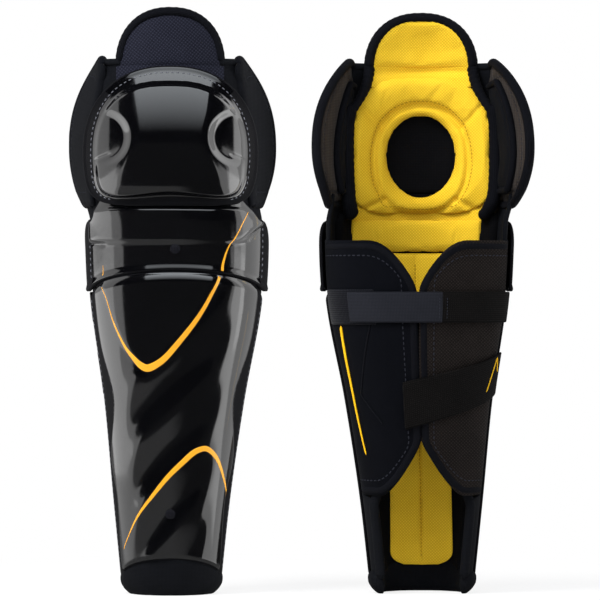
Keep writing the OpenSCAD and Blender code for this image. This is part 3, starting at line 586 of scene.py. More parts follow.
def cap_point(share, turn):
    """Place and height of the cap's outside over the knee wall: the sewn flange has a rolled lip, the
    face stands 6 mm over it, a waisted panel is 0.6 mm proud, the ears beside it fall away at 1 in 5, the
    scoops drop to 1.2 mm, and a slit ends each ear."""
    reach = cap_outline(turn)
    x, z = share * reach * np.cos(turn), KNEE_MID + share * reach * np.sin(turn)
    x = x * (1 - 0.1 * np.clip((KNEE_MID - z) / CAP_DROP, 0, 1) ** 2)
    inset = (1 - share) * reach
    face = ease((inset - 7.0 - 5 * np.maximum(0, np.sin(turn)) ** 3) / 4.5)
    lip = 0.7 * np.exp(-((inset / 2.2) ** 2))
    bowl = ease((24.5 - np.hypot(np.abs(x) - 56, (z - 385) * 0.97)) / 7.5)
    waist = through([(338, 43), (352, 41), (383, 30), (408, 35), (432, 37)], z)
    panel = ease((waist - np.abs(x)) / 9 + 0.5) * ease((z - 338) / 7)
    fall = np.maximum(np.abs(x) - waist, 0)
    face_h = mix(6 + 0.6 * panel - 0.2 * fall**2 / (fall + 3), 1.2, bowl)
    slit = 0.8 * np.exp(-(((z - 366 - 0.35 * (65 - np.abs(x))) / 0.9) ** 2)) * ease((np.abs(x) - 49) / 4)
    return x, z, lip + face * (face_h - slit)


share, turn = disc(181)
x, z, rise = cap_point(share, turn)
knee_cap = slab(knee(x, z, rise), knee(x, z, rise - WALL))
knee_cap = retag(knee_cap, ((1 - share) * cap_outline(turn) < 6.6) & (np.sin(turn) < 0.7), RIM)
place_pair("knee_cap", knee_cap, "knee", shell_finishes, ["knee_cap"])

# %% Rivets
RIVET = 4.0  # radius of a head


def rivet(z, off):
    """A domed head, half an ellipsoid 1.2 mm high, on the front of a shell that stands off mm over the
    section."""
    share, turn = disc(17)
    x, up = RIVET * share * np.cos(turn), z + RIVET * share * np.sin(turn)
    phi = np.degrees(np.arcsin(x / (half_w(up) + off)))
    return slab(leg(phi, up, off + 0.2 + np.sqrt(1.02 - share**2)), leg(phi, up, off - 0.3), roll=3)


rivets = join(rivet(69.2, 2.4), rivet(292, 0.2))
place_pair("rivets", rivets, "shin_bodies", [rivet_nylon] * 3, ["shell_rivets"])

# %% [markdown]
# ## Foam and liner
# Behind the shells lies cloth-faced foam, and on it a yellow liner: a long strip with a seam down its
# middle, a roll under the knee, and a quilted pad with a round opening inside the knee cap. The long
# strip is a thin lamination, so it is modelled directly. A stitch is one small bar, copied by array
# arithmetic to equal steps along a seam.

# %% Foam
u, v = grid(np.linspace(-66, 66, 61), np.linspace(0, 1, 61))
z = mix(edge_z(SHELL_LOW, u), BAND_TOP, v)
shin_foam = slab(leg(u, z, FOAM_OUT), leg(u, z, FOAM_IN))
place_pair("shin_foam", shin_foam, "shin_bodies", [foam_knit] * 3, ["shin_foam"])

u, v = grid(np.linspace(-1, 1, 51), np.linspace(0, 1, 51))
z = mix(PLATE_TOP + 2, KNEE_TOP - 10, v)
up = np.maximum(0, (z - KNEE_MID) / (CAP_RISE + 0.6))
half = np.minimum(58, CAP_HALF * np.maximum(1e-6, 1 - up**ROUND) ** (1 / ROUND) - 10)
knee_foam = slab(knee(u * half, z, KNEE_FOAM_OUT), knee(u * half, z, KNEE_FOAM_IN))
place_pair("knee_foam", knee_foam, "knee", [foam_knit] * 3, ["knee_foam"])


# %% Liner strip
def crown(u, v):
    """Fullness of a pad: none at its rim, nearly all of it over the middle."""
    return np.maximum(0, (1 - u * u) * (1 - (2 * v - 1) ** 6)) ** 0.35


u, v = grid(np.linspace(-1, 1, 81), np.linspace(0, 1, 121))
z = mix(SHELL_LOW - 9, BAND_LOW - 0.5, v)
half = mix(np.degrees(np.arcsin(22 / (half_w(z) - 17.6))), 54, ease((z - 90) / 120))
half = half * np.sqrt(np.clip(1 - ((SHELL_LOW + 3 - z) / 14).clip(0, 1) ** 2, 0.15, 1))
full = 0.35 + crown(u, v) * (0.65 - 0.6 * np.exp(-((u * half / 1.9) ** 2)) * ease((z - 20) / 6))
shin_liner = slab(leg(u * half, z, LINER_OUT), leg(u * half, z, LINER_OUT - 4 * full))
place_pair("shin_liner", shin_liner, "shin_bodies", [liner_knit] * 3, ["shin_liner"])

# %% Sewing of the liner strip
BAR = 24  # points of a stitch


def rings_of(number):
    """A grid of point numbers with its first column again at the end, so that each row is a closed ring."""
    return np.concatenate([number, number[:, :1]], 1)


def dashes(path, normal, pitch, length, radius):
    """Stitches: bars of four rings of six points, drawn in at their ends, at equal steps of arc length
    along a path."""
    s = arc(path, 0)
    at = np.arange(pitch / 2, s[-1] - pitch / 4, pitch)

    def on(d, line):
        """Points of a line at distances d along the path."""
        return np.stack([np.interp(d, s, c) for c in line.T], -1)

    middle, up = on(at, path), unit(on(at, normal))
    t = unit(on(at + length / 2, path) - on(at - length / 2, path))
    side = unit(np.cross(up, t))
    a = 2 * np.pi * np.arange(6) / 6
    place, size = np.array([-1, -0.75, 0.75, 1]), radius * np.array([0.4, 1, 1, 0.4])
    ring = np.cos(a)[:, None] * side[:, None] + np.sin(a)[:, None] * up[:, None]
    spine = middle[:, None, None] + t[:, None, None] * (place * length / 2)[:, None, None]
    bars = spine + size[:, None, None] * ring[:, None]
    number = rings_of(np.arange(BAR).reshape(4, 6))
    step = BAR * np.arange(len(at))[:, None, None]
    walls = (quads(number) + step).reshape(-1, 4)
    ends = (np.stack([number[0, 5::-1], number[3, :6]]) + step).reshape(-1, 6)
    tags = np.zeros(len(walls) + len(ends), int)
    return Shape(bars.reshape(-1, 3), [walls, ends], np.zeros((BAR * len(at), 2)), tags)


z = np.linspace(SHELL_LOW - 3, BAND_LOW - 8, 170)
seam = dashes(leg(0 * z, z, LINER_OUT - 1.75), np.tile([0.0, 1, 0], (len(z), 1)), 3.4, 2.4, 0.35)
place_pair("shin_liner_sewing", seam, "shin_bodies", [liner_thread])

# %% [markdown]
# ## Stuffed fabric
# Pads on a guard are foam inside a sewn cover. A formula gives their outline, but not the slight swell
# that a cover has over its filling. A short cloth simulation with air pressure inside gives that: the pad
# starts a little thin, swells for twenty frames, and each point's move is capped so that it stays in its
# place. One pad is simulated in the guard's own frame and then placed on both guards and both sides.

# %% Liner band
PRESSURE, FRAMES = 4.0, 20


def puff(shape, voxel, cap):
    """The shape, remeshed in cubes of the voxel size, swollen by cloth pressure without gravity for 20
    frames, each point moved by cap at most, and subdivided once. Lengths in millimetres."""
    scene = bpy.context.scene
    obj = new_object("pad", mesh_of("pad", shape.points / 1000, shape))

    def settle():
        """The object's mesh becomes what its modifiers made of it."""
        done = bpy.data.meshes.new_from_object(obj.evaluated_get(bpy.context.evaluated_depsgraph_get()))
        obj.modifiers.clear()
        obj.data = done

    def read(mesh):
        """Points of a mesh."""
        co = np.empty(len(mesh.vertices) * 3)
        mesh.vertices.foreach_get("co", co)
        return co.reshape(-1, 3)

    remesh = obj.modifiers.new("cubes", "REMESH")
    remesh.mode, remesh.voxel_size = "VOXEL", voxel / 1000
    settle()
    start = read(obj.data)
    cloth = obj.modifiers.new("cover", "CLOTH").settings
    cloth.use_pressure, cloth.uniform_pressure_force = True, PRESSURE
    cloth.effector_weights.gravity = 0
    for f in range(1, FRAMES + 1):
        scene.frame_set(f)
    moved = read(obj.evaluated_get(bpy.context.evaluated_depsgraph_get()).data) - start
    far = np.linalg.norm(moved, axis=1, keepdims=True)
    moved *= np.minimum(1, cap / 1000 / np.maximum(far, 1e-9))
    obj.modifiers.clear()
    obj.data.vertices.foreach_set("co", (start + moved).ravel())
    scene.frame_set(1)
    smooth = obj.modifiers.new("smooth", "SUBSURF")
    smooth.levels = smooth.render_levels = 1
    settle()
    points = read(obj.data) * 1000
    corners = np.empty(len(obj.data.loops), int)
    obj.data.loops.foreach_get("vertex_index", corners)
    bpy.data.objects.remove(obj)
    faces = corners.reshape(-1, 4)
    return Shape(points, [faces], points[:, [0, 2]] / 1000, np.zeros(len(faces), int))


u, v = grid(np.linspace(-1, 1, 41), np.linspace(0, 1, 17))
z = mix(BAND_LOW + 0.8, BAND_TOP - 0.8, v)
band = slab(leg(u * 55, z, LINER_OUT - 0.6), leg(u * 55, z, LINER_OUT - 2.6 - 1.6 * crown(u, v)))
band = puff(band, 2.4, 1.6)
place_pair("liner_band", band, "shin_bodies", [liner_knit], ["liner_band"])

# %% [markdown]
# ## Knee liner
# The pad inside the cap is one sewn cover round an egg-shaped opening. A ring with a flat back and a domed
# face is swollen first. Then each seam draws the cover down: one runs round the opening, and four short
# ones run to the corners. The stitches are laid on the swollen cover, at its nearest points.

# %% Knee liner
def sew(shape, distance, width, depth, push):
    """A sewn channel: points near a seam are pushed along push, deepest on the seam and fading as a bell
    curve."""
    sink = depth * np.exp(-((distance / width) ** 2))
    return shape._replace(points=shape.points + sink[:, None] * np.asarray(push, float))


def ring_seam(turn):
    """Outer seam of the ring round the opening, seen from the leg."""
    return arch(38.5, 47.5, turn, 2.2)


turn, a = grid(np.linspace(0, 2 * np.pi, 121)[:-1], np.linspace(0, 2 * np.pi, 61)[:-1])
q = 0.5 - 0.5 * np.cos(a)
egg = arch(27, 35, turn, 2.1) * (1 + 0.09 * np.sin(turn))
outline = arch(56.5, np.where(np.sin(turn) > 0, 72, 47), turn, np.where(np.sin(turn) > 0, 3.2, 4.5))
reach = mix(egg, outline, q)
x, z = reach * np.cos(turn), RING_MID + reach * np.sin(turn)
high = np.where(a <= np.pi, np.sin(np.minimum(a, np.pi)) ** 0.55 * (8.6 - 2.2 * q), 0)
seat = knee(x, np.minimum(z, KNEE_TOP - 4), KNEE_SEAT)
points = np.stack([x, seat[..., 1] + 0.9 + high, z], -1)
number = rings_of(np.arange(turn.size).reshape(turn.shape))
number = np.concatenate([number, number[:1]])
knee_liner = Shape(points.reshape(-1, 3), [quads(number)], np.zeros((turn.size, 2)), np.zeros(turn.size, int))
knee_liner = puff(knee_liner, 2.1, 2.2)
px, pz = knee_liner.points[:, 0], knee_liner.points[:, 2] - RING_MID
seam_gap = np.abs(np.hypot(px, pz) - ring_seam(np.arctan2(pz, px)))
knee_liner = sew(knee_liner, seam_gap, 3.2, 4.8, (0, -1, 0))
# Short seams, from the ring to the pad's corners, as (aside, up) of their ends.
for low, top in (((33, 28), (52, 50)), ((29.5, -34), (53, -47))):
    way = unit(np.subtract(top, low))
    along = np.clip((np.abs(px) - low[0]) * way[0] + (pz - low[1]) * way[1], 0, 28)
    gap = np.hypot(np.abs(px) - low[0] - along * way[0], pz - low[1] - along * way[1])
    knee_liner = sew(knee_liner, gap, 2.8, 2.6, (0, -1, 0))
liner_nodes = ["knee_ring", "knee_side_cushions", "knee_brow"]
place_pair("knee_liner", knee_liner, "knee", [liner_knit], liner_nodes)


# %% Sewing of the knee liner
def face_normals(shape):
    """Unit normals of a shape of four-cornered faces, from their diagonals."""
    q = shape.points[shape.faces[0]]
    return unit(np.cross(q[:, 2] - q[:, 0], q[:, 3] - q[:, 1]))


def soften(path, passes=6):
    """A path with its corners rounded: each inner point is averaged with its neighbours, several times
    over."""
    for _ in range(passes):
        path = np.concatenate([path[:1], (path[:-2] + 2 * path[1:-1] + path[2:]) / 4, path[-1:]])
    return path


def onto(shape, path, lift):
    """A path laid on a pad: each point moves to the pad's nearest point, raised by lift; the normals come
    along."""
    faces, flat = shape.faces[0], face_normals(shape)
    normal = np.zeros_like(shape.points)
    np.add.at(normal, faces.ravel(), np.repeat(flat, 4, 0))
    normal = unit(normal)
    near = np.argmin(np.linalg.norm(path[:, None] - shape.points[None], axis=2), 1)
    return soften(shape.points[near], 3) + lift * normal[near], normal[near]


turn = np.linspace(0, 2 * np.pi, 240)
x, z = ring_seam(turn) * np.cos(turn), RING_MID + ring_seam(turn) * np.sin(turn)
path = knee(x, z, KNEE_SEAT) + [0, 12, 0]
seam = dashes(*onto(knee_liner, path, 0.15), 3.4, 2.2, 0.3)
place_pair("knee_liner_sewing", seam, "knee", [liner_thread])

# %% Apron under the knee liner
u, v = grid(np.linspace(-54, 54, 41), np.linspace(306, 331, 21))
apron = slab(leg(u, v, -11.6), leg(u, v, -13.4))
place_pair("liner_apron", apron, "shin_bodies", [liner_knit] * 3)

# %% [markdown]
# ## Thigh flap
# A soft board stands up behind the cap and folds forward over it. Its front is twill, its back the yellow
# knit, and a thick rolled hem runs round both. Cords, bindings and hems are a ring carried along a path.
# The hem's path is a superellipse, and its section swells a little between the turns of the sewing thread.

# %% Thigh flap
FLAP_FRONT = knee(0, KNEE_TOP - 4, -WALL)[1] + 1
FLAP_HALF, FLAP_TALL = 39.5, 45.0


def flap_y(x, t):
    """Depth of the flap's front: a parabola across and one upwards."""
    return FLAP_FRONT + 16 * (x / 46) ** 2 + 12 * t * t


def flap(u, v, depth):
    """A point of the flap's board: its half width is a superellipse of power 2.3 in height."""
    t = 0.97 * v
    x = u * FLAP_HALF * np.maximum(0, 1 - t**ROUND) ** (1 / ROUND)
    z = FOLD + 0.4 + t * FLAP_TALL
    return np.stack([x, flap_y(x, t) + depth, z + 0.45 * depth * (1 - v)], -1)


u, v = grid(np.linspace(-1, 1, 41), np.linspace(0, 1, 31))
board = slab(flap(u, v, 1.3), flap(u, v, 7.6))
board = puff(board, 2.6, 1.8)
place_pair("thigh_flap", board, "thigh_flap", [flap_twill], ["thigh_flap"])

lining = slab(flap(u, v, 9.3), flap(u, v, 12.4 + 1.4 * crown(u * 0.98, v)))
lining = puff(lining, 2.2, 1.2)
place_pair("thigh_liner", lining, "thigh_flap", [liner_knit], ["thigh_liner"])


# %% Hem of the flap
def tube(path, normal, wide, thick, sides):
    """An ellipse carried along a path: half axis wide lies across the path in the surface, half axis
    thick along the surface's normal, which is one direction or one for each point. Both ends are drawn in
    and closed."""
    n = len(path)
    t = unit(np.gradient(path, axis=0))
    across = unit(np.cross(normal, t))
    up = np.cross(t, across)
    a = 2 * np.pi * np.arange(sides) / sides
    k = np.arange(n)
    near = np.minimum(k, n - 1 - k) / 3
    size = np.sqrt(np.clip(1 - (1 - np.minimum(near, 1)) ** 2, 0.04, 1))
    wide, thick = (wide * size)[:, None, None], (thick * size)[:, None, None]
    ring = wide * np.cos(a)[:, None] * across[:, None] + thick * np.sin(a)[:, None] * up[:, None]
    points = (path[:, None] + ring).reshape(-1, 3)
    number = rings_of(np.arange(n * sides).reshape(n, sides))
    faces = [quads(number), number[:1, sides - 1::-1], number[-1:, :sides]]
    uv = np.stack([np.tile(a / (2 * np.pi), n) * 0.02, np.repeat(arc(path, 0), sides) / 1000], -1)
    return Shape(points, faces, uv, np.zeros(sum(map(len, faces)), int))


a = np.radians(np.linspace(178, 2, 90))
x = np.sign(np.cos(a)) * (FLAP_HALF + 2.5) * np.abs(np.cos(a)) ** (2 / ROUND)
t = np.sin(a) ** (2 / ROUND)
path = np.stack([x, flap_y(x, t) + 6.2, FOLD + t * (FLAP_TALL + 2)], -1)
swell = 1 + 0.03 * np.sin(np.arange(len(a)) * 1.9)
hem = tube(path, (0, 1, 0), 4.4 * swell, 7.6 * swell, 20)
place_pair("flap_hem", hem, "thigh_flap", [stretch_binding], ["thigh_flap_hem"])


# %% Fold of the flap
def place_bend(name, shape, finishes, low, high):
    """A soft cover over a hinge, on both guards, fixed in the frame: it moves with neither body, and low and
    high, the bodies under and over the hinge, are only printed."""
    for g in (1, 2):
        obj = piece(name, shape, g, finishes)
        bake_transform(obj)
    print(f"{name}: {len(shape.points)} points, bends between {low} and {high}")


u, v = grid(np.linspace(-44, 44, 41), np.linspace(0, 1, 21))
z = mix(428, 456, v)
front = mix(knee(u, 428.0, -6)[..., 1], flap_y(u, 0.2) + 3, ease(v))
fold = slab(np.stack([u, front, z], -1), np.stack([u, front + 3, z], -1))
place_bend("flap_fold", fold, [flap_twill] * 3, "knee", "thigh_flap")
u = u * 0.9
z = mix(432, 456, v)
back = mix(knee(u, 436.0, KNEE_SEAT)[..., 1] + 3, flap_y(u, 0.2) + 10.5, ease(v))
back = back - 2.5 * np.exp(-(((z - 445) / 3) ** 2))
fold = slab(np.stack([u, back - 2.2, z], -1), np.stack([u, back, z], -1))
place_bend("liner_fold", fold, [liner_knit] * 3, "knee", "thigh_flap")


# %% Roots of the hem and rolls beside the knee liner
def mirror(shape):
    """The same piece for the other side of the leg: x changes sign, and each face is read backwards."""
    return Shape(shape.points * [-1, 1, 1], [f[:, ::-1] for f in shape.faces], shape.uv * [-1, 1], shape.tags)


def both_sides(shape):
    """A shape and its mirror image, as one."""
    return join(shape, mirror(shape))


t = np.linspace(0, 1, 40)
z = mix(452, 408, t)
x = through([(0, 41.6), (0.3, 43), (0.6, 47.3), (1, 57.2)], t)
y = mix(flap_y(42.0, 0.1) + 6.4, knee(57.0, 410.0, KNEE_SEAT)[1] + 7, ease(t))
knobs = (1 + 0.07 * np.sin(np.arange(len(t)) * 1.7)) * mix(1, 0.72, ease(t))
root = tube(np.stack([x, y, z], -1), (0.2, 1, 0.3), 4.6 * knobs, 5.4 * knobs, 16)
roots = both_sides(root)
place_bend("hem_root", roots, [stretch_binding], "knee", "thigh_flap")
z = np.linspace(416, 318, 60)
x = through([(318, 52), (335, 58), (372, 60), (400, 59.5), (416, 57)], z)
path = np.stack([x, knee(np.minimum(x, 57.5), z, KNEE_SEAT)[..., 1] + 5, z], -1)
roll = tube(path, (0.4, 1, 0), 5.6 * (1 + 0.04 * np.sin(np.arange(len(z)) * 1.7)), 6.0, 16)
place_pair("knee_roll", both_sides(roll), "knee", [stretch_binding])

# %% Lining between the cap and the wings
LINING_TOP = 449.0


def wing_front(z):
    """Where a wing starts, to the side of the cap's middle."""
    return through([(WING_LOW, 68.5), (KNEE_MID, 69.5), (420, 62.5), (WING_TOP, 57.5)], z)


u, v = grid(np.linspace(0, 1, 17), np.linspace(332, LINING_TOP, 41))
x = mix(40, wing_front(v) - 3.5, u)
upright = np.stack([0 * v, 0 * v, v], -1)
outer, inner = [knee(x, np.minimum(v, KNEE_TOP), off) * [1, 1, 0] + upright for off in (-6.6, -10.4)]
path = knee(np.linspace(40, wing_front(LINING_TOP), 20), KNEE_TOP, -8.5) * [1, 1, 0] + [0, 0, LINING_TOP]
lining = join(slab(outer, inner), tube(path, (0, 0, 1), 4.0, 3.2, 14))
place_pair("knee_lining", both_sides(lining), "knee", [wing_cloth] * 3)

# %% [markdown]
# ## Knee wings
# Two padded leaves start under the cap's edge and reach back round the knee. Each has pack cloth outside,
# brushed tricot inside, a second smaller pad on the inside and a thick rolled binding. One wing is made
# and mirrored.

# %% Wing form
WING_MID = 377.55  # height at which a wing reaches out furthest
WING_LONG = 66.0  # from the cap to the rear edge
ACROSS_WING = (0.95, -0.3, 0)  # direction in which a wing is thick


def wing(s, v, depth):
    """A point of the right wing: s runs from the cap to the rear edge, v upwards, depth inwards from the
    outside. Its reach sideways falls off as a power of 2.4 above its middle and a parabola below, and its
    rear edge is a rounded rectangle."""
    z = mix(WING_LOW, WING_TOP - 7 * (1 - s) ** 2, v)
    front_x = wing_front(z)
    front_y = knee(front_x, np.clip(z, KNEE_LOW, KNEE_TOP - 10), -3.6)[..., 1]
    d = z - WING_MID
    above, below = np.maximum(d / (WING_TOP - WING_MID), 0), d / (WING_MID - WING_LOW)
    out_x = WING_OUT * np.where(d >= 0, 1 - 0.3 * above**2.4, 1 - 0.13 * below**2)
    length = WING_LONG * (0.3 + 0.7 * np.maximum(0, 1 - np.abs(2 * v - 0.98) ** 3) ** 0.55)
    return np.stack([mix(front_x, out_x, s**0.85) - depth, front_y + s * length * 0.94, z], -1)


def wing_border(first, low, high, rear, depth):
    """The border of a wing from its foot round the rear edge to its top, at a depth."""
    s = np.concatenate([np.linspace(first, rear, 30), np.full(70, rear), np.linspace(rear, first, 30)])
    v = np.concatenate([np.full(30, low), np.linspace(low, high, 70), np.full(30, high)])
    return soften(wing(s, v, depth))


u, v = grid(np.linspace(0, 1, 31), np.linspace(0, 1, 51))
pad = puff(slab(wing(u, v, 1.0), wing(u, v, 7.0)), 2.8, 1.6)
seam_line = wing_border(0.2, 0.09, 0.9, 0.87, 0)
inner_line = wing_border(0.25, 0.09, 0.9, 0.87, 8)
for line, push in ((seam_line, (-1, 0.2, 0)), (inner_line, (1, -0.2, 0))):
    gap = np.min(np.linalg.norm(pad.points[:, None] - line[None], axis=2), 1)
    pad = sew(pad, gap, 2.2, 1.1, push)
facing = face_normals(pad)
pad = pad._replace(tags=((facing[:, 0] < -0.1) & (facing[:, 1] > -0.25)).astype(int))
border = wing_border(0.12, 0.0, 1.0, 1.0, 4.0)
binding = tube(border, ACROSS_WING, 3.6, 3.9, 16)
sewing = join(*[dashes(*onto(pad, line, 0.15), 4.2, 2.6, 0.3) for line in (seam_line, inner_line)])
print("wing:", len(pad.points), "points, with", len(sewing.points) // BAR, "stitches")


# %% Inner wing pads
def inner_leaf(last):
    """The second pad of a wing and its binding: it lies on the tricot from a fifth of the wing's reach to
    the share last, and from 0.1 to 0.86 of its height."""
    low, high = 0.1, 0.86
    s, w = mix(0.2, last, u), mix(low, high, v)
    leaf = puff(slab(wing(s, w, 8.9), wing(s, w, 11.4 + 2.6 * crown(2 * u - 1, v))), 2.4, 1.4)
    s = np.concatenate([np.linspace(0.22, last, 25), np.full(60, last), np.linspace(last, 0.22, 25)])
    w = np.concatenate([np.full(25, low), np.linspace(low, high, 60), np.full(25, high)])
    return leaf, tube(soften(wing(s, w, 11.2)), ACROSS_WING, 3.0, 3.0, 14)


for side, flip, last in (("right", lambda shape: shape, 0.46), ("left", mirror, 0.7)):
    body, inner = f"wing_{side}", f"wing_pad_{side}"
    leaf, leaf_binding = inner_leaf(last)
    place_pair(body, flip(pad), body, [wing_cloth, wing_tricot], [body])
    place_pair(f"{body}_binding", flip(binding), body, [stretch_binding])
    place_pair(f"{body}_sewing", flip(sewing), body, [dark_thread])
    place_pair(inner, flip(leaf), body, [wing_cloth], [inner])
    place_pair(f"{inner}_binding", flip(leaf_binding), body, [stretch_binding])

# %% Side tab
u, v = grid(np.linspace(0, 1, 9), np.linspace(0, 1, 21))
root = wing(1.0, mix(0.27, 0.43, v), 4.0) + np.stack([0 * u, 0.7 + 6 * u, 0 * u], -1)
tab = mirror(slab(root + [0.55, 0, 0], root - [0.55, 0, 0]))
place_pair("side_tab", tab, "wing_left", [stretch_binding] * 3, ["wing_tab"])

# %% [markdown]
# ## Rim, gussets and webs
# The guard stands on a padded rim round the ankle. Fabric gussets run up both sides under the shell's
# flange, and a soft web closes the corner between the shin and the knee. The web crosses the knee's
# hinge.

# %% Ankle rim
u, v = grid(np.linspace(-1, 1, 91), np.linspace(0, 1, 15))
phi = u * 111
z = 0.8 + v * (edge_z(SHELL_LOW, phi) - 0.8 - 0.8)
outer = leg(phi, z, -0.3 - 6 * (1 - v) ** 3)
inner = leg(phi, z, FOAM_IN + 0.8 + 2 * (1 - v) ** 3)
rim = puff(slab(outer, inner), 3.0, 1.2)
rim = rim._replace(points=np.maximum(rim.points, [-np.inf, -np.inf, 0]))  # nothing under the floor
place_pair("ankle_rim", rim, "shin_bodies", [wing_cloth], ["ankle_bolster"])

# %% Side gussets
GUSSET_FIRST, GUSSET_TOP = 67.0, 299.0


def gusset_last(z):
    """Angle at which a gusset ends: 120 degrees round the ankle, 95 above it."""
    return mix(120, 95, ease((z - 81) / 3.5))


u, v = grid(np.linspace(0, 1, 21), np.linspace(0, 1, 101))
guess = mix(GUSSET_FIRST, gusset_last(mix(15, GUSSET_TOP, v)), u)
z = mix(edge_z(SHELL_LOW, guess), GUSSET_TOP, v)
phi = mix(GUSSET_FIRST, gusset_last(z), u)
gusset = slab(leg(phi, z, FOAM_OUT), leg(phi, z, WRAP_IN))
z, phi = np.linspace(14, 90, 60), np.full(60, 119.0)
inwards = 4 * ease((z - 74) / 12)  # the roll ends under the hem of the wrap
gusset = join(gusset, tube(leg(phi, z, -5.6 - inwards), leg(phi, z, 10) - leg(phi, z, 0), 4.2, 3.8, 14))
gussets = both_sides(gusset)
place_pair("side_gussets", gussets, "shin_bodies", [wing_cloth] * 3, ["side_gussets"])

# %% Webs between shin and knee
u, v = grid(np.linspace(60, 97, 25), np.linspace(296, 338, 31))
web = slab(leg(u, v, -4.0), leg(u, v, -7.5))
webs = both_sides(web)
place_bend("knee_web", webs, [wing_cloth] * 3, "shin_bodies", "knee")

# %% Curtain behind the knee's gap
u, v = grid(np.linspace(-58, 58, 51), np.linspace(0, 1, 25))
foot = leg(u, 318.0 + 0 * u, -9.5)
crest = knee(foot[..., 0] * 0.97, 346.0 + 0 * u, -12.0)
front = mix(foot, crest, v[..., None])
curtain = slab(front, front + [0, 1.4, 0])
place_bend("knee_curtain", curtain, [foam_knit] * 3, "shin_bodies", "knee")

# %% [markdown]
# ## Calf wraps
# Two panels close behind the calf: neoprene on one side, open mesh on the other, both bound with stretch
# tape. They are flat goods, so they are modelled directly, with a dart pressed into the neoprene and a
# yellow corded seam.

# %% Tongue behind the wraps
u, v = grid(np.linspace(173, 187, 13), np.linspace(137, 250, 41))
tongue = slab(leg(u, v, WRAP_IN - 0.7), leg(u, v, WRAP_IN - 2.2))
place_pair("wrap_tongue", tongue, "wrap_left", [foam_knit] * 3)


# %% Calf wraps
def wrap_place(s, v):
    """Angle and height on a wrap: s from the gusset to the back, v upwards; both edges are cut back
    towards the back."""
    low = mix(86, 131, (np.maximum(0, s - 0.45) / 0.55) ** 1.8)
    high = mix(BAND_TOP - 22, 255, (np.maximum(0, s - 0.58) / 0.42) ** 2.4)
    z = mix(low, high, v)
    last = 180 - np.degrees(np.arcsin(1.6 / (half_w(z) + WRAP_OUT)))
    return mix(96, last, s), z


def to_line(phi, z, line):
    """Distance in millimetres from points of the section to a broken line of (angle, height) corners."""
    per_degree = np.radians(1) * 58  # the calf's radius is about 58 mm
    p = np.stack([phi * per_degree, z], -1)
    ends = np.array(line, float) * [per_degree, 1]
    a, b = ends[:-1], ends[1:]
    t = np.clip(np.sum((p[..., None, :] - a) * (b - a), -1) / np.sum((b - a) ** 2, -1), 0, 1)
    return np.min(np.linalg.norm(p[..., None, :] - a - t[..., None] * (b - a), axis=-1), -1)


DART = [(146, 228), (126.5, 169), (147, 144)]  # corners of the dart, as (angle, height)
u, v = grid(np.linspace(0, 1, 81), np.linspace(0, 1, 81))
phi, z = wrap_place(u, v)
dart = 0.55 * np.exp(-((to_line(phi, z, DART) / 1.1) ** 2))
neoprene_wrap = slab(leg(phi, z, WRAP_OUT - dart), leg(phi, z, WRAP_IN))
mesh_wrap = mirror(slab(leg(phi, z, WRAP_OUT), leg(phi, z, WRAP_IN)))
place_pair("calf_wrap_right", neoprene_wrap, "wrap_right", [neoprene] * 3,
           ["calf_wrap_right"])
place_pair("calf_wrap_left", mesh_wrap, "wrap_left", [open_mesh] * 3, ["calf_wrap_left"])


# %% Seams and bindings of the wraps
def outwards(phi):
    """Direction away from the leg's middle, at phi degrees from the front."""
    a = np.radians(phi)
    return np.stack([np.sin(a), -np.cos(a), 0 * a], -1)


def wrap_border(inset):
    """Angles and heights of a path inside the border of a wrap: along the top, down the back and along
    the foot, inset mm from the edge."""
    k, share = np.linspace(0, 1, 60), inset / 95
    s = np.concatenate([mix(0.02, 1 - share, k), np.full(60, 1 - share), mix(1 - share, 0.02, k)])
    tall = wrap_place(s, 1.0)[1] - wrap_place(s, 0.0)[1]
    low, high = inset / tall, 1 - inset / tall
    w = np.concatenate([high[:60], mix(high[60:120], low[60:120], k), low[120:]])
    return wrap_place(s, w)


phi, z = wrap_border(2.6)
wrap_binding = tube(soften(leg(phi, z, (WRAP_OUT + WRAP_IN) / 2), 8), outwards(phi), 3.6, 3.4, 16)
phi, z = wrap_border(10.5)
wrap_sewing = dashes(soften(leg(phi, z, WRAP_OUT + 0.1), 8), outwards(phi), 4.4, 2.6, 0.45)
t = np.linspace(0, 1, 90)
phi, z = [np.interp(t, [0, 0.68, 1], corners) for corners in np.transpose(DART)]
dart_seam = tube(soften(leg(phi, z, WRAP_OUT), 3), outwards(phi), 0.8, 0.45, 10)
place_pair("dart_seams", dart_seam, "wrap_right", [stretch_binding])
place_pair("wrap_right_binding", wrap_binding, "wrap_right", [stretch_binding])
place_pair("wrap_left_binding", mirror(wrap_binding), "wrap_left", [stretch_binding])
place_pair("wrap_right_sewing", wrap_sewing, "wrap_right", [dark_thread])
place_pair("wrap_left_sewing", mirror(wrap_sewing), "wrap_left", [dark_thread])

# %% Corded seam and loop patch
t = np.linspace(0, 1, 80)
phi = 117 + 6 * t**2 - 10 * t * (1 - t)
path = leg(phi, mix(227, 118, t), WRAP_OUT + 0.9)
taper = mix(1.0, 0.55, t)
piping = tube(path, outwards(phi), 1.25 * taper, 1.1 * taper, 10)
place_pair("wrap_piping", piping, "wrap_right", [piping_satin], ["wrap_piping"])
UPPER_MID = 243.0  # height of the upper strap's middle, where the patch lies too
u, v = grid(np.linspace(100, 150, 41), np.linspace(-14, 14, 21))
patch = slab(leg(u, UPPER_MID + v, PATCH_OUT), leg(u, UPPER_MID + v, WRAP_OUT - 0.3))
place_pair("loop_patch", patch, "wrap_right", [loop_pile] * 3, ["loop_patch"])

# %% [markdown]
# ## Straps
# Two straps are sewn to the mesh wrap and close on the neoprene one. The upper is elastic with a hook
# tab; the lower is a wide webbing that climbs to its sewn end, where two yellow lines cross it.

# %% Straps
LOWER_ENDS = (168, 262)  # angles of the lower strap's ends


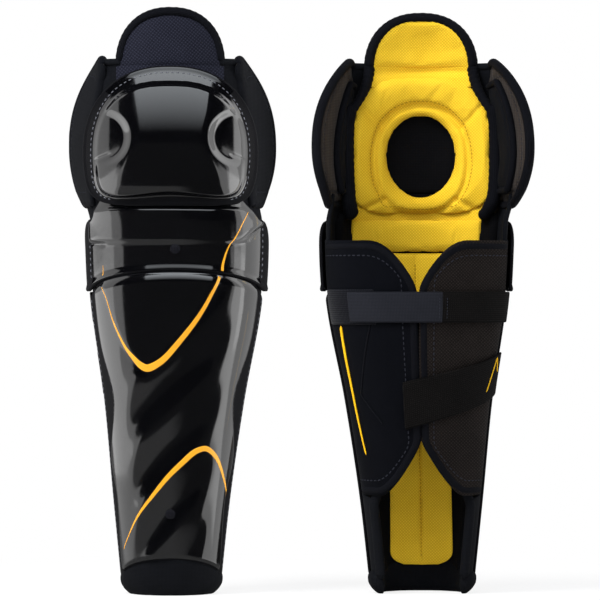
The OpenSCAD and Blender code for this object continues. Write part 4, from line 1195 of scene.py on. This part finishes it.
def climb(phi):
    """Height of the lower strap's middle: it climbs in a straight line from 160 to 187 mm."""
    return np.interp(phi, LOWER_ENDS, (160, 187))


def lower_wide(phi):
    """Width of the lower strap: it narrows in a straight line from 38 to 34 mm."""
    return np.interp(phi, LOWER_ENDS, (38, 34))


def strap(u, z):
    """A strap: grids of angles and heights, laid as a band of even thickness."""
    return slab(leg(u, z, STRAP_OUT), leg(u, z, STRAP_IN), roll=4)


for name, first, last, cover_of, slot in (("upper_strap", 195.6, 262, elastic, "webbing"),
                                          ("upper_strap_tab", 132, 195, hook_tape, "hook_tab")):
    u, v = grid(np.linspace(first, last, 61), np.linspace(-0.5, 0.5, 17))
    place_pair(name, strap(u, UPPER_MID + v * 24), "upper_strap", [cover_of] * 3, [name])
u, v = grid(np.linspace(*LOWER_ENDS, 81), np.linspace(-0.5, 0.5, 17))
lower_strap = strap(u, climb(u) + v * lower_wide(u))
place_pair("lower_strap", lower_strap, "lower_strap", [elastic] * 3, ["lower_strap"])
u, v = grid(np.linspace(168.5, 183, 15), np.linspace(-0.42, 0.42, 11))
z = climb(u) + v * lower_wide(u)
hook = slab(leg(u, z, STRAP_IN - 0.05), leg(u, z, WRAP_OUT + 0.5), roll=3)
place_pair("lower_strap_hook", hook, "lower_strap", [hook_tape] * 3, ["lower_strap_hook"])


# %% Lines and stitches on the straps
def strap_line(phi, z, lift):
    """A path on a strap's outside and its normals."""
    return leg(phi, z, STRAP_OUT + lift), outwards(phi)


ends = []
for first, last in (((250, 200.5), (239, 171)), ((250.3, 200.5), (255, 188))):
    phi, z = np.linspace(first, last, 24).T
    ends.append(tube(*strap_line(phi, z, 0.15), 0.55, 0.4, 8))
place_pair("strap_lines", join(*ends), "lower_strap", [piping_satin])
bars = []
for phi in (193.2, 198.2, 259.0):
    z = np.linspace(UPPER_MID - 10, UPPER_MID + 10, 30)
    bars.append(dashes(*strap_line(np.full(len(z), phi), z, 0.1), 2.6, 1.8, 0.3))
place_pair("upper_strap_sewing", join(*bars), "upper_strap", [dark_thread])

# %% [markdown]
# ## Sewing on the shells
# A needle goes through the flanges of the shells, and its pale thread shows as short dashes against the
# black.

# %% Flange sewing
shell_z = np.linspace(edge_z(SHELL_LOW, 77) + 6, edge_z(SHELL_TOP, 77) - 4, 160)
plate_z = np.linspace(edge_z(SHELL_TOP, 72) + 8, KNEE_LOW - 18, 60)
for name, at, z, rise in (("shell_sewing", 76.5, shell_z, shell_rise),
                          ("plate_sewing", 72.0, plate_z, plate_rise)):
    phi = np.full(len(z), at)
    row = dashes(leg(phi, z, rise(phi, z) + 0.1), outwards(phi), 5.0, 2.2, 0.42)
    place_pair(name, both_sides(row), "shin_bodies", [thread])
turn = np.linspace(-0.62, np.pi + 0.62, 240)
share = 1 - 4.6 / cap_outline(turn)
x, z, rise = cap_point(share, turn)
normal = unit(knee(x, z, rise + 5) - knee(x, z, rise) + np.stack([0.9 * x, 0 * x, 0 * x], -1) / 20)
cap_sewing = dashes(knee(x, z, rise + 0.15), normal, 4.6, 2.4, 0.42)
place_pair("cap_sewing", cap_sewing, "knee", [thread])

# %% [markdown]
# ## Stage
# The photograph shows the pair on plain white, lit by two large soft boxes at the sides and one above.
# The side boxes draw the grey bands on the gloss shells, and the dark side of the studio behind the
# camera keeps their middle black.

# %% Camera
# Metres to the guards and across the picture, and the width of the sensor in millimetres.
DISTANCE, PICTURE_WIDE, SENSOR = 4.0, 0.51, 36
camera = new_object("camera", bpy.data.cameras.new("camera"))
camera.location = (0, -DISTANCE, 0.249)
camera.rotation_euler = (math.radians(90), 0, 0)
camera.data.sensor_width = SENSOR
camera.data.lens = SENSOR * DISTANCE / PICTURE_WIDE
bpy.context.scene.camera = camera
print("camera: lens", round(camera.data.lens, 1), "mm")


# %% Lights
def soft_box(name, place, aim, wide, high, watts):
    """A rectangular lamp that looks at a point; the camera doesn't see it."""
    lamp = bpy.data.lights.new(name, "AREA")
    lamp.shape, lamp.size, lamp.size_y, lamp.energy = "RECTANGLE", wide, high, watts
    obj = new_object(name, lamp)
    back = np.array(place, float) - np.array(aim, float)
    obj.location = place
    obj.rotation_euler = (math.atan2(math.hypot(back[0], back[1]), back[2]), 0, math.atan2(back[0], -back[1]))
    obj.visible_camera = False
    return obj


soft_box("box_left", (-0.9, 0.12, 0.5), (0, 0.12, 0.4), 0.76, 1.1, 3.2)
soft_box("box_right", (0.9, 0.12, 0.5), (0, 0.12, 0.4), 0.76, 1.1, 3.2)
# Two narrow strips between the guards light their inner sides.
soft_box("strip_left", (0, -0.035, 0.24), (-1, -0.035, 0.24), 0.07, 0.48, 0.16)
soft_box("strip_right", (0, -0.035, 0.24), (1, -0.035, 0.24), 0.07, 0.48, 0.08)
top = soft_box("box_top", (0, -1.32, 1.09), (0, 0, 0.4), 2.2, 1.28, 18.5)
top.data.color = (0.9, 0.95, 1.0)
key = soft_box("key", (-1.1, -0.95, 2.0), (0, 0, 0.3), 0.8, 0.8, 55)
key.visible_glossy = False
rear_fill = soft_box("rear_fill", (0.9, 1.8, 1.9), (0, 0, 0.3), 1.2, 1.2, 22)
rear_fill.visible_glossy = False
# The box above is bright along its upper edge and fades to nothing at its lower one.
top.data.use_nodes = True
t = top.data.node_tree
across = add(t, "ShaderNodeNewGeometry").outputs["Parametric"]
height = add(t, "ShaderNodeSeparateXYZ", {}, {0: across}).outputs["Y"]
fade = add(t, "ShaderNodeMapRange", {"To Max": 2.0}, {"Value": height}).outputs[0]
t.links.new(fade, t.nodes["Emission"].inputs["Strength"])
print("lights: two side boxes, two narrow strips between the guards, one box above,",
      "a key beside the camera and a fill behind")

# %% Floor
# The camera sees white paper that glows, so that only the shadow near the guards shows. Mirrored in the
# shells, the floor is dark apart from painted reflections: pale patches that glow only for gloss, behind
# the guards, to the left of their feet and at both sides.
FLOOR = 6.0  # half its side, in metres
floor_mesh = bpy.data.meshes.new("floor")
corners = [(-FLOOR, -FLOOR, 0), (FLOOR, -FLOOR, 0), (FLOOR, FLOOR, 0), (-FLOOR, FLOOR, 0)]
floor_mesh.from_pydata(corners, [], [(0, 1, 2, 3)])
floor = new_object("floor", floor_mesh)
paper, t, body = finish("white_paper", Roughness=0.9, Base_Color=light("#f4f4f4"))
rays = add(t, "ShaderNodeLightPath").outputs
glossy = rays["Is Glossy Ray"]
seen = add(t, "ShaderNodeMath", {}, {0: rays["Is Camera Ray"], 1: rays["Is Transmission Ray"]},
           operation="MAXIMUM").outputs[0]
spot = add(t, "ShaderNodeTexCoord").outputs["Object"]
far = add(t, "ShaderNodeVectorMath", {}, {0: spot}, operation="LENGTH").outputs["Value"]
place = add(t, "ShaderNodeSeparateXYZ", {}, {0: spot}).outputs
aside = add(t, "ShaderNodeMath", {}, {0: place["X"]}, operation="ABSOLUTE").outputs[0]
ahead = add(t, "ShaderNodeMath", {}, {0: place["Y"]}, operation="ABSOLUTE").outputs[0]
lane = add(t, "ShaderNodeMath", {1: -1.65}, {0: ahead, 2: aside}, operation="MULTIPLY_ADD").outputs[0]
ramps = {}
for name, source, first, last, start, end in (("shadow", far, 0.22, 0.55, 0.8, 1.0),
                                              ("behind", place["Y"], 0.1, 0.5, 0.04, 0.35),
                                              ("left", place["X"], 0.15, -0.1, 0.0, 0.36),
                                              ("feet", place["Y"], -0.75, -0.5, 0.0, 1.0),
                                              ("sides", lane, 0.1, 0.3, 0.0, 1.4)):
    span = {"From Min": first, "From Max": last, "To Min": start, "To Max": end}
    ramp = add(t, "ShaderNodeMapRange", span, {"Value": source}, interpolation_type="SMOOTHSTEP")
    ramps[name] = ramp.outputs[0]
share = add(t, "ShaderNodeMath", {}, {0: seen, 1: ramps["shadow"]}, operation="MULTIPLY").outputs[0]
share = add(t, "ShaderNodeMath", {}, {0: share, 1: glossy}, operation="MAXIMUM").outputs[0]
left = add(t, "ShaderNodeMath", {}, {0: ramps["left"], 1: ramps["feet"]}, operation="MULTIPLY").outputs[0]
# Painted reflections: how brightly the floor glows for gloss, pale only in the patches above.
level = ramps["behind"]
for pale in (left, ramps["sides"]):
    level = add(t, "ShaderNodeMath", {}, {0: level, 1: pale}, operation="MAXIMUM").outputs[0]
level = add(t, "ShaderNodeMix", {2: 1.0}, {0: glossy, 3: level}, data_type="FLOAT").outputs[0]
glow = add(t, "ShaderNodeEmission", {}, {"Strength": level})
both = add(t, "ShaderNodeMixShader", {}, {0: share, 1: body.outputs[0], 2: glow.outputs[0]})
t.links.new(both.outputs[0], t.nodes["Material Output"].inputs["Surface"])
floor_mesh.materials.append(paper)
print("floor:", 2 * FLOOR, "m of white paper")

# %% Background
# White for the camera, a plain grey light for cloth, and for gloss a dark studio with a grey backdrop behind.
world = bpy.data.worlds.new("studio")
bpy.context.scene.world = world
world.use_nodes = True
t = world.node_tree
rays = add(t, "ShaderNodeLightPath").outputs
way = add(t, "ShaderNodeSeparateXYZ", {}, {0: add(t, "ShaderNodeTexCoord").outputs["Generated"]})
behind = add(t, "ShaderNodeMath", {1: 0.86}, {0: way.outputs["Y"]}, operation="GREATER_THAN").outputs[0]
mirrored = add(t, "ShaderNodeMath", {}, {0: rays["Is Glossy Ray"], 1: rays["Is Transmission Ray"]},
               operation="MAXIMUM").outputs[0]
backdrop = add(t, "ShaderNodeMath", {}, {0: mirrored, 1: behind}, operation="MULTIPLY").outputs[0]
studio = {6: light("#7c7c80"), 7: light("#0c0c0e")}
colour = add(t, "ShaderNodeMix", studio, {0: mirrored}, data_type="RGBA").outputs[2]
for tint, here in ((light("#98989c"), backdrop), (light("#ffffff"), rays["Is Camera Ray"])):
    colour = add(t, "ShaderNodeMix", {7: tint}, {0: here, 6: colour}, data_type="RGBA").outputs[2]
t.links.new(colour, t.nodes["Background"].inputs["Color"])
bpy.context.scene.view_settings.view_transform = "Standard"
print("background:", world.name)
